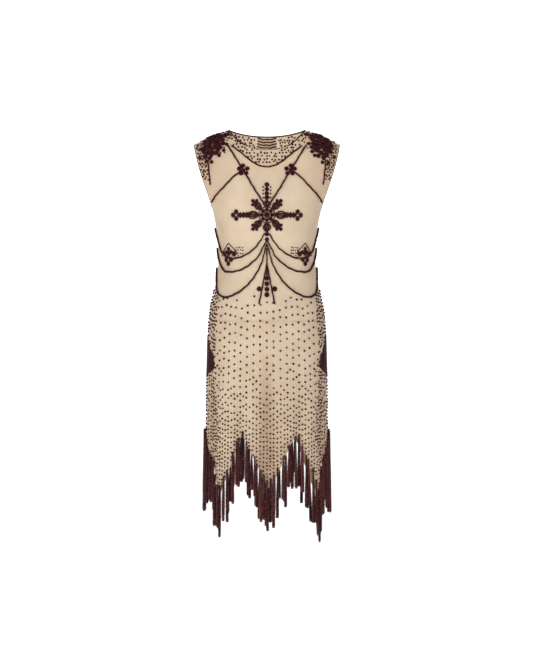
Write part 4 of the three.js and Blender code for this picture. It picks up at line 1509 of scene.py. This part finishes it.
    def _long_arm(self, needle: Needle, tilt: float, near: float) -> None:
        """A row of flowers with beads beside them, ending in three larger ones.

        Args:
            needle: The needle that sews the piece.
            tilt: The arm's angle, in radians.
            near: Where it starts along the arm.
        """
        self._around_arm(needle, tilt, ((near, 0, 5.8), (near + 9.5, 0, 5.6), (near + 19, 0, 5.8)))
        self._around_arm(needle, tilt, ((98, 0, 7.0), (87.5, 9, 7.0), (87.5, -9, 7.0)))
        for run in (near - 4.8, near + 4.8, near + 14.3):
            for off in (-5.4, 5.4):
                turn, z = self._spot(tilt, run, off)
                needle.dot(Side.FRONT, turn, z, 2.7)

    def _finial(self) -> None:
        """The short upright row of flowers over the star, with small beads beside it."""
        needle = self._needle("finial_beads", 61)
        flowers = [(0, 7.5, 7.0), (0, -5, 6.2), (0, -16.5, 6.2), (0, -27.5, 6.8)]
        self._around(needle, 0, self.finial_level, flowers)
        for dz in (1, -8, -17, -28):
            for hand in (1, -1):
                turn, z = SHAPE.beside(Side.FRONT, 0, self.finial_level, hand * 10, dz)
                needle.dot(Side.FRONT, turn, z, 2.4)
        self._done(needle, FRONT_BODICE, "star_finial")

    def _drop(self) -> None:
        """The hanging drop: a stem, two spread legs and a cross of flowers."""
        needle = self._needle("drop_beads", 70)
        needle.string(Side.FRONT, route(Side.FRONT, DROP_STEM), STEM_CORD)
        for hand in (1, -1):
            needle.string(Side.FRONT, route(Side.FRONT, DROP_LEG, hand), LEG_CORD)
        upright = [(0, 29.5, 6.4), (0, 14.8, 6.8), (0, 0, 6.8), (0, -14.8, 7.2)]
        self._around(needle, 0, self.drop_level, [*upright, (21, 1, 7.2), (-21, 1, 7.2)])
        turn, z = SHAPE.beside(Side.FRONT, 0, self.drop_level, 0, 42)
        needle.dot(Side.FRONT, turn, z, 1.8)
        self._done(needle, FRONT_BODICE, "centre_drop")

    def _shoulders(self) -> None:
        """Dense clusters of flowers, long beads and small beads over both sides of each shoulder."""
        zones = {
            Side.FRONT: (ShoulderZone(13, 84, 146.5, 30.5), "shoulder_cluster", FRONT_BODICE),
            Side.BACK: (ShoulderZone(6, 56, 148, 31), "shoulder_cluster_back", BACK_BODICE),
        }
        for side, (zone, node, cloth) in zones.items():
            for hand, name in ((1, "right"), (-1, "left")):
                needle = self._needle(f"{node}_{name}_beads", 80 + hand + 4 * side.value)
                ShoulderCluster(needle, side, hand, zone).sew()
                self._done(needle, cloth, f"{node}_{name}")

    def _hips(self) -> None:
        """Leaf shaped bead work over each side seam, in close rows like a leaf's ribs."""
        for hand, name in ((1, "right"), (-1, "left")):
            needle = self._needle(f"hip_leaf_{name}_beads", 90 + hand)
            for side in Side:
                for start in HIP_LEAF.rib_starts():
                    rib = HIP_LEAF.rib(start, hand, -needle.dice.uniform(-0.6, 3.4))
                    if len(rib) > 2:
                        needle.string(side, rib, HIP_RIB)
            self._done(needle, (Side.FRONT, Part.SKIRT), f"hip_leaf_{name}")


@dataclass(frozen=True)
class HipLeaf:
    """The outline of the bead work over a side seam: levels, and half its width in degrees of turn."""

    top: float
    widest: float
    bottom: float
    half: float
    rib_gap: float = 4.6
    rib_rise: int = 44
    rib_slope: float = 0.8

    def rib_starts(self) -> np.ndarray:
        """The levels at which the ribs leave the side seam, from the top down."""
        return np.arange(self.top, self.bottom - 60, -self.rib_gap)

    def rib(self, start: float, hand: int, margin: float) -> list[Place]:
        """One rib, which rises away from the seam.

        Args:
            start: The level at which it leaves the seam.
            hand: 1 for the viewer's right, -1 for the left.
            margin: Degrees to add to the leaf's edge.

        Returns:
            Turns and levels of the part of it that is on the leaf.
        """
        line = [(k * self.rib_slope, start + k) for k in range(self.rib_rise)]
        kept = [(away, level) for away, level in line if self.covers(away, level, margin)]
        return [(hand * (SIDE_TURN - away), level) for away, level in kept]

    def covers(self, away: float, level: float, margin: float = 0.0) -> bool:
        """Whether the leaf reaches a place.

        Args:
            away: Degrees from the side seam.
            level: The level.
            margin: Degrees to add to the leaf's edge.

        Returns:
            True on the leaf.
        """
        if not self.bottom < level < self.top:
            return False
        end = self.top if level > self.widest else self.bottom
        share = (level - end) / (self.widest - end)
        return away < self.half * math.sin(share * math.pi / 2) + margin


@dataclass(frozen=True)
class ShoulderZone:
    """Where a shoulder cluster lies: distances down from the shoulder seam, and from the centre line."""

    near: float
    far: float
    middle: float
    half: float


@dataclass(frozen=True)
class FlowerLayer:
    """One layer of a cluster's flowers: how far out it goes, their gap, radius and height."""

    reach: float
    gap: float
    radius: float
    lift: float


FLOWER_LAYERS = (
    FlowerLayer(1.0, 8.8, 6.4, 0.0),
    FlowerLayer(0.84, 10.0, 6.8, 2.0),
    FlowerLayer(0.52, 11.5, 7.0, 4.0),
)
SPRAY_ANGLES = (28, 58, 84, 112, 140, 168, 196)
NECK_FLOWERS = ((-1.12, -0.42), (-1.34, -0.34))


@dataclass
class ShoulderCluster:
    """One cluster: layers of flowers, sprays at its edge and small beads scattered round it."""

    needle: Needle
    side: Side
    hand: int
    zone: ShoulderZone
    tries: int = 700
    spray_radius: float = 5.4
    neck_radius: float = 6.4
    loose_reach: float = 1.55
    loose_gap: float = 8.4
    edge: float = 1.05
    outermost: float = 190
    outermost_below: float = 168

    def sew(self) -> None:
        """Sews the flowers from the lowest layer up, then the loose flowers and beads at the edge."""
        dice = self.needle.dice
        for layer in FLOWER_LAYERS:
            for u, v in self._spread(layer.reach, layer.gap):
                turn, level = self._place(u, v)
                radius = layer.radius * dice.uniform(0.82, 1.15)
                lift = layer.lift * smooth_step((v + 1) / 0.9) * (1 - 0.5 * (u * u + v * v))
                self.needle.flower(self.side, turn, level, radius, lift=lift)
        for angle in SPRAY_ANGLES:
            turned = math.radians(angle + dice.uniform(-9, 9))
            reach = dice.uniform(1.08, 1.32)
            place = self._place(reach * math.cos(turned), reach * math.sin(turned))
            self.needle.flower(self.side, *place, self.spray_radius)
        for u, v in NECK_FLOWERS:
            self.needle.flower(self.side, *self._place(u, v), self.neck_radius)
        for u, v in self._spread(self.loose_reach, self.loose_gap):
            x = self.zone.middle + u * self.zone.half
            on_shoulder = x < self.outermost and (x < self.outermost_below or v < 0)
            if math.hypot(u, v) > self.edge and abs(v) < self.edge and on_shoulder:
                self.needle.dot(self.side, *self._place(u, v), dice.uniform(2.0, 2.6))

    def _spread(self, reach: float, gap: float) -> list[Place]:
        """Chance places inside the cluster, none nearer to another than a gap in millimetres.

        Args:
            reach: How far out, as a share of the cluster's size.
            gap: The gap.

        Returns:
            Shares of the half width and of the half depth.
        """
        long, deep = self.zone.half, (self.zone.far - self.zone.near) / 2
        dice = self.needle.dice
        kept: list[Place] = []
        for _ in range(self.tries):
            u, v = dice.uniform(-reach, reach), dice.uniform(-reach, reach)
            inside = u * u + v * v < reach * reach
            if inside and all(math.hypot((u - a) * long, (v - b) * deep) > gap for a, b in kept):
                kept.append((u, v))
        return kept

    def _place(self, u: float, v: float) -> Place:
        """Turn and level for shares of the cluster's half width and half depth from its middle.

        Args:
            u: Share across, away from the neck.
            v: Share down, away from the shoulder seam.

        Returns:
            The turn and the level.
        """
        zone = self.zone
        x = zone.middle + u * zone.half
        distance = max((zone.near + zone.far) / 2 + v * (zone.far - zone.near) / 2, 1.5)
        turned = min(distance / SHOULDER_ARC, math.pi / 2)
        past = max(distance - SHOULDER_ARC * math.pi / 2, 0)
        level = SHAPE.shoulder_line(x) - SHOULDER_ROLL * (1 - math.cos(turned)) - past
        return SHAPE.turn(self.side, self.hand * x / SHAPE.girth("half", level), level), level


HIP_LEAF = HipLeaf(top=-548.0, widest=-640.0, bottom=-672.0, half=30.0)


@dataclass
class ScatteredBeads:
    """The small beads over the skirt and the yoke and by the armholes, and the rows inside the neck."""

    sewing: Sewing
    material: bpy.types.Material
    radius: float = 2.85
    radius_at_hem: float = 2.45
    per_degree: float = 2.85
    cell: float = 12
    off_hem: float = 5
    middle_reach: float = 66
    row_gap: float = 8.6
    leaf_margin: float = 1.6
    taken: dict[tuple[int, int], list[Place]] = field(default_factory=dict)

    def build(self) -> None:
        """Makes the skirt's beads and the bodice's beads as two pieces for each side."""
        for side in Side:
            needle = Needle(BeadWork(f"skirt_beads_{side.label}"), random.Random(5 + side.value))
            self.taken.clear()
            self._side_rows(needle, side)
            self._columns(needle, side)
            self._done(needle, (side, Part.SKIRT))
            needle = Needle(BeadWork(f"bodice_beads_{side.label}"), random.Random(9 + side.value))
            self._armholes(needle, side)
            self._yoke(needle, side, 10.0)
            self._done(needle, (side, Part.BODICE))
        needle = Needle(BeadWork("inner_neck_beads"), random.Random(17), inside=True)
        self._yoke(needle, Side.BACK, 8.4)
        self._neck_rows(needle)
        self._done(needle, BACK_BODICE)

    def _done(self, needle: Needle, cloth: Cloth) -> None:
        """Finishes the piece on a needle."""
        work = needle.work
        self.sewing.place(work.name, work.finished(), self.material, "beadwork", cloth)

    def _free(self, turn: float, level: float, gap: float) -> bool:
        """Whether no skirt bead is nearer than a gap, and if so, takes the place.

        Args:
            turn: Turn from the panel's centre.
            level: The level.
            gap: The gap in millimetres.

        Returns:
            True if the place was free.
        """
        x, z = turn * self.per_degree, level
        column, row = math.floor(x / self.cell), math.floor(z / self.cell)
        for i in (-1, 0, 1):
            for j in (-1, 0, 1):
                for a, b in self.taken.get((column + i, row + j), ()):
                    if math.hypot(x - a, z - b) < gap:
                        return False
        self.taken.setdefault((column, row), []).append((x, z))
        return True

    def _radius(self, level: float) -> float:
        """A skirt bead's usual radius, smaller towards the hem."""
        return blend(self.radius, self.radius_at_hem, self._low(level))

    @staticmethod
    def _low(level: float, run: float = 300) -> float:
        """How far down the lower skirt a level is, eased from 0 to 1 over a run in millimetres."""
        return smooth_step((LOWER_SKIRT - level) / run)

    def _columns(self, needle: Needle, side: Side) -> None:
        """Uneven columns down the middle of the skirt, with more between them towards the hem.

        Args:
            needle: The needle that sews the piece.
            side: The panel.
        """
        dice = needle.dice
        for first, top, wide, close in ((0, -452.0, 22.0, 10.6), (1, -590.0, 34.0, 10.6)):
            for k in range(first - 20, 21, 2):
                turn = k * THREAD_PITCH
                if abs(turn) > self.middle_reach:
                    continue
                level = top - dice.uniform(0, 44)
                while level > SHAPE.hem(side, "cloth", turn) + self.off_hem:
                    at = turn + dice.uniform(-0.28, 0.28)
                    if self._free(at, level, blend(11.5, 7.6, self._low(level))):
                        needle.dot(side, at, level, self._radius(level) * dice.uniform(0.86, 1.08))
                    level -= blend(wide, close, self._low(level, 330)) * dice.uniform(0.72, 1.28)

    def _side_rows(self, needle: Needle, side: Side) -> None:
        """Close rows beside each side seam that rise towards the panel's middle, round the hip leaves.

        Args:
            needle: The needle that sews the piece.
            side: The panel.
        """
        dice = needle.dice
        top = -432
        for start in np.arange(-412.0, -1030.0, -self.row_gap):
            narrowed = 8 * smooth_step((start - LOWER_SKIRT) / 140)
            width = 30 + 9 * smooth_step((-700 - start) / 200) - narrowed
            for hand in (1, -1):
                away = dice.uniform(0.8, 4.5)
                while away < width:
                    level = start + 44 * (away / 28) ** 1.5 + dice.uniform(-1.6, 1.6)
                    turn = hand * (SIDE_TURN - away)
                    on_cloth = SHAPE.hem(side, "cloth", turn) + self.off_hem < level < top
                    beside_leaf = on_cloth and not HIP_LEAF.covers(away, level, self.leaf_margin)
                    if beside_leaf and self._free(turn, level, 6.9):
                        needle.dot(side, turn, level, self._radius(level) * dice.uniform(0.84, 1.0))
                    away += blend(7.6, 3.1, smooth_step(away / 32)) + dice.uniform(-0.5, 0.5)

    def _armholes(self, needle: Needle, side: Side) -> None:
        """Beads between the line by each armhole and its edge, fewer towards its foot.

        Args:
            needle: The needle that sews the piece.
            side: The panel.
        """
        dice = needle.dice
        shares, marks = zip(*ARMHOLE_LINE)
        for hand in (1, -1):
            for k, level in enumerate(np.arange(-46.0, -142.0, -6.4)):
                half = SHAPE.girth("half", level)
                start = np.interp(-level, [-mark for mark in marks], shares) * half + 5 + 3.6 * (k % 2)
                for x in np.arange(start, half - 3.5, 8.0):
                    at, z = x + dice.uniform(-1.4, 1.4), level + dice.uniform(-1.8, 1.8)
                    needle.dot(side, SHAPE.turn(side, hand * at / half, z), z, dice.uniform(2.3, 2.8))

    def _yoke(self, needle: Needle, side: Side, pitch: float) -> None:
        """Beads between the neckline and the yoke's curve.

        Args:
            needle: The needle that sews the piece.
            side: The panel.
            pitch: The beads' spacing.
        """
        dice = needle.dice
        low = -105.0 if side is Side.FRONT else -88.0
        for k, level in enumerate(np.arange(-9.0, low, -pitch * 0.82)):
            for x in np.arange(-112.0 + pitch / 2 * (k % 2), 113.0, pitch):
                at = x + dice.uniform(-0.28, 0.28) * pitch
                z = level + dice.uniform(-0.24, 0.24) * pitch
                floor = low + 6 + 0.0068 * at * at
                on_rows = needle.inside and abs(at) < 31 and z > -56
                if SHAPE.neckline(side, at) - 4 > z > floor and not on_rows:
                    share = at / SHAPE.girth("half", z)
                    needle.dot(side, SHAPE.turn(side, share, z), z, dice.uniform(2.4, 3.0))

    @staticmethod
    def _neck_rows(needle: Needle) -> None:
        """Five short curved rows one above the other, at the middle of the back neck.

        Args:
            needle: The needle that sews the piece.
        """
        for k in range(5):
            half, level = 25 + 0.9 * k, -21.5 - 7.5 * k
            row = []
            for x in np.linspace(-half, half, 23):
                z = level + 0.007 * x * x + 1.5 * math.exp(-((x / 4) ** 2))
                row.append((SHAPE.turn(Side.BACK, x / SHAPE.girth("half", z), z), z))
            needle.string(Side.BACK, row, NECK_ROW)


@dataclass
class Fringe:
    """The beaded fringe: looped strings of beads that hang from the pointed hem, with painted glints and
    painted light and shade on their strings.
    """

    sewing: Sewing
    material: bpy.types.Material
    strands: int = 16
    width: float = 9.4
    bead: float = 4.9
    depth: float = 1.6
    pitch: float = 3.7
    sway: float = 0.35
    # painted glints: shares of the strings' beads and of the core beads painted at the light end of the
    # fringe's colours
    bright_share: float = 0.05
    sparkle_share: float = 0.3
    lift: float = 0.8
    layers: float = 3.0
    lean: float = 3.0
    jitter: float = 0.3
    # painted light and shade: alternate strands are painted lighter and darker, standing in for the shade
    # between overlapping strands
    light_shift: float = 0.24
    dark_shift: float = -0.06
    inner_from: float = 0.3
    rounding: float = 2.4
    uneven: tuple[float, ...] = (0, 16, -9, 22, 5, -14, 12, -5, 18, -11)

    def build(self) -> None:
        """Makes the fringe of each point of the hem as one piece."""
        for side in Side:
            left, right = VALLEYS[side]
            points = {
                "centre": (left, right, 0),
                "right": (right, SIDE_TURN, 3),
                "left": (-SIDE_TURN, left, 7),
            }
            for name, (start, end, first) in points.items():
                work = BeadWork(f"fringe_beads_{side.label}_{name}")
                dice = random.Random(f"{side.label}{name}")
                for k in range(self.strands):
                    across = k + 0.5 + dice.uniform(-self.jitter, self.jitter)
                    turn = blend(start, end, across / self.strands)
                    longer = self.uneven[(k + first) % len(self.uneven)]
                    # alternate strands painted lighter and darker, as painted shade between them
                    shift = self.light_shift if k % 2 else self.dark_shift
                    self._strand(work, dice, side, turn, SHAPE.hem(side, "fringe", turn) + longer, shift)
                mesh = work.finished()
                piece = self.sewing.place(
                    work.name, mesh, self.material, "fringe_beads", (side, Part.SKIRT)
                )
                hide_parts(f"fringe_{side.label}_{name}")

    def _strand(
        self, work: BeadWork, dice: random.Random, side: Side, turn: float, end: float, shift: float
    ) -> None:
        """One looped strand: two strings close together at the top, wider apart and round at the bottom.

        Args:
            work: The beads of this point of the hem.
            dice: Its chance numbers.
            side: The panel.
            turn: Where the strand hangs.
            end: The level of its lowest end.
            shift: How much lighter or darker its beads are painted, as painted light and shade on alternate
                strands.
        """
        root = SHAPE.hem(side, "cloth", turn) + dice.uniform(3, 20)
        out = SHAPE.normal(side, turn, root)
        out.z = 0
        out.normalize()
        across = Vector((-out.y, out.x, 0))
        count = round((root - end) / self.pitch)
        phase = dice.uniform(0, 2 * math.pi)
        shift += dice.uniform(-0.12, 0.12)
        lift = self.lift + self.bead / 2 + dice.uniform(0, self.layers)
        lean = dice.uniform(-self.lean, self.lean)

        def centre_at(k: int) -> Vector:
            """The strand's middle at one bead, lifted off the cloth and leaning a little to one side."""
            level = root - (k + 0.5) * self.pitch
            return SHAPE.point(side, turn, level) + out * lift + across * (lean * (k / count) ** 1.5)

        upright = Vector((0, 0, 1))
        inner = (self.pitch * 1.05, 1.5, 2.1)
        # core beads between the two strings, some painted light as the painted highlight down the middle of
        # a strand
        for k in range(round(count * self.inner_from), count - 1, 2):
            shade = 1.0 if dice.random() < self.sparkle_share else 0.1
            work.sew(centre_at(k), upright, out, inner, shade)
        # painted light and shade: one string of each loop painted lighter as its lit side, the other darker
        # as its shaded side
        for hand, tone in ((1, 0.15), (-1, 0.6)):
            for k in range(count):
                turned = self.sway * math.sin(phase + 0.11 * k)
                spread = blend(0.1, 1.0, smooth_step(k / count * 1.4)) * min(1.0, (count - k) / 1.4)
                aside = across * math.cos(turned) + out * math.sin(turned)
                place = centre_at(k) + aside * hand * (self.width - self.bead) / 2 * spread
                half = self.bead / 2 * dice.uniform(0.93, 1.04)
                deep = half * self.depth * min(1.0, (count - k + 0.3) / self.rounding)
                # a few beads painted light as painted glints
                glinting = dice.random() < self.bright_share
                shade = 1.0 if glinting else min(max(tone * 0.45 + shift + dice.uniform(-0.1, 0.12), 0), 1)
                work.sew(place, upright, out, (self.pitch * 0.53, half, deep), shade)


@dataclass(frozen=True)
class Lamp:
    """A square lamp: where it is, what it faces, its size in metres and its power in watts."""

    name: str
    place: tuple[float, float, float]
    aim: tuple[float, float, float]
    size: float
    power: float


DRESS_MIDDLE = (0.0, 0.0, -0.55)
LAMPS = (
    Lamp("key", (-2.6, -3.7, 1.1), DRESS_MIDDLE, 1.4, 70),
    Lamp("fill", (2.2, -4.0, -0.4), DRESS_MIDDLE, 2.2, 36),
    Lamp("top", (0.0, -1.7, 2.5), DRESS_MIDDLE, 1.6, 17),
    Lamp("back", (0.6, 3.6, 1.2), DRESS_MIDDLE, 2.0, 34),
    Lamp("inner", (0.0, -0.03, -0.17), (0.0, 0.07, -0.03), 0.1, 0.2),
)


@dataclass
class Studio:
    """The plain pale floor, the soft light and the camera, in metres."""

    distance: float = 9.0
    frame_height: float = 1.812
    aim: tuple[float, float, float] = (-0.001, 0.0, -0.5515)
    floor: float = -1.13
    flat_radius: float = 12.0
    bend_radius: float = 1.5
    rim_height: float = 3.2
    glow_from: float = 3.0
    glow_to: float = 5.0
    glow_near: float = 0.74
    glow_far: float = 1.0
    floor_colour: Colour = (0.7, 0.7, 0.7)
    bend_steps: int = 12
    world_strength: float = 0.14
    sensor_height: float = 24

    def build(self) -> None:
        """Sets up the floor, lights and camera."""
        self._floor()
        self._lights()
        self._camera()

    def _floor(self) -> None:
        """A round floor whose rim curves up on all sides, so that no horizon shows."""
        shape = bmesh.new()
        curve = [(0.0, 0.0), (self.flat_radius, 0.0)]
        for k in range(1, self.bend_steps + 1):
            turned = math.pi / 2 * k / self.bend_steps
            run = self.flat_radius + self.bend_radius * math.sin(turned)
            curve.append((run, self.bend_radius * (1 - math.cos(turned))))
        curve.append((self.flat_radius + self.bend_radius, self.rim_height))
        line = [shape.verts.new((run, 0, self.floor + rise)) for run, rise in curve]
        edges = [shape.edges.new(pair) for pair in zip(line, line[1:])]
        bmesh.ops.spin(
            shape,
            geom=line + edges,
            cent=(0, 0, 0),
            axis=(0, 0, 1),
            angle=2 * math.pi,
            steps=64,
            use_merge=True,
        )
        bmesh.ops.remove_doubles(shape, verts=shape.verts, dist=0.001)
        bmesh.ops.recalc_face_normals(shape, faces=shape.faces)
        if sum(face.normal.z for face in shape.faces) < 0:
            bmesh.ops.reverse_faces(shape, faces=shape.faces)
        for face in shape.faces:
            face.smooth = True
        mesh = bpy.data.meshes.new("floor")
        shape.to_mesh(mesh)
        shape.free()
        material, nodes, link, shader = new_material("pale_floor")
        shader.inputs["Base Color"].default_value = (*self.floor_colour, 1)
        shader.inputs["Roughness"].default_value = 0.9
        shader.inputs["Emission Color"].default_value = (1, 1, 1, 1)
        place = nodes.new("ShaderNodeTexCoord")
        away = nodes.new("ShaderNodeVectorMath")
        away.operation = "LENGTH"
        link(place.outputs["Object"], away.inputs[0])
        glow = nodes.new("ShaderNodeMapRange")
        glow.inputs["From Min"].default_value = self.glow_from
        glow.inputs["From Max"].default_value = self.glow_to
        glow.inputs["To Min"].default_value = self.glow_near
        glow.inputs["To Max"].default_value = self.glow_far
        link(away.outputs["Value"], glow.inputs["Value"])
        link(glow.outputs["Result"], shader.inputs["Emission Strength"])
        mesh.materials.append(material)
        floor = bpy.data.objects.new("floor", mesh)
        bpy.context.collection.objects.link(floor)

    def _lights(self) -> None:
        """Lamps in front, above and behind, a small one inside the neck, and a dim white world."""
        for lamp in LAMPS:
            data = bpy.data.lights.new(lamp.name, "AREA")
            data.shape = "SQUARE"
            data.size = lamp.size
            data.energy = lamp.power
            light = bpy.data.objects.new(lamp.name, data)
            light.location = lamp.place
            facing = Vector(lamp.aim) - Vector(lamp.place)
            light.rotation_euler = facing.to_track_quat("-Z", "Y").to_euler()
            bpy.context.collection.objects.link(light)
        world = bpy.data.worlds.new("studio")
        bpy.context.scene.world = world
        world.use_nodes = True
        sky = world.node_tree.nodes["Background"]
        sky.inputs["Color"].default_value = (1, 1, 1, 1)
        sky.inputs["Strength"].default_value = self.world_strength

    def _camera(self) -> None:
        """A long lens, level with the middle of the dress."""
        data = bpy.data.cameras.new("camera")
        data.sensor_fit = "VERTICAL"
        data.sensor_height = self.sensor_height
        data.lens = self.sensor_height * self.distance / self.frame_height
        camera = bpy.data.objects.new("camera", data)
        camera.location = Vector(self.aim) - Vector((0, self.distance, 0))
        camera.rotation_euler = (math.pi / 2, 0, 0)
        bpy.context.collection.objects.link(camera)
        bpy.context.scene.camera = camera
        bpy.context.scene.view_settings.view_transform = "Standard"


def main() -> None:
    """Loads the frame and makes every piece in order."""
    logging.basicConfig(level=logging.INFO, format="%(message)s")
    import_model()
    beads = GlassBeads("dark_beads", (0.016, 0.004, 0.006), (0.06, 0.013, 0.016), 0.3).material()
    edging = GlassBeads("edging_beads", (0.03, 0.012, 0.012), (0.13, 0.06, 0.05), 0.4).material()
    # the fringe's light colour serves its chance tones and also its painted glints and painted lit strings
    fringe = GlassBeads("fringe_beads", (0.018, 0.004, 0.005), (0.15, 0.042, 0.04), 0.28, 0.24).material()
    small = GlassBeads("small_beads", (0.02, 0.007, 0.007), (0.075, 0.024, 0.021), 0.34).material()
    Studio().build()
    sewing = Sewing()
    cloths = ClothPanels(sewing)
    cloths.build()
    Trimmings(sewing, beads, edging).build()
    ScatteredBeads(sewing, small).build()
    Fringe(sewing, fringe).build()
    cloths.declare()


if __name__ == "__main__":
    main()
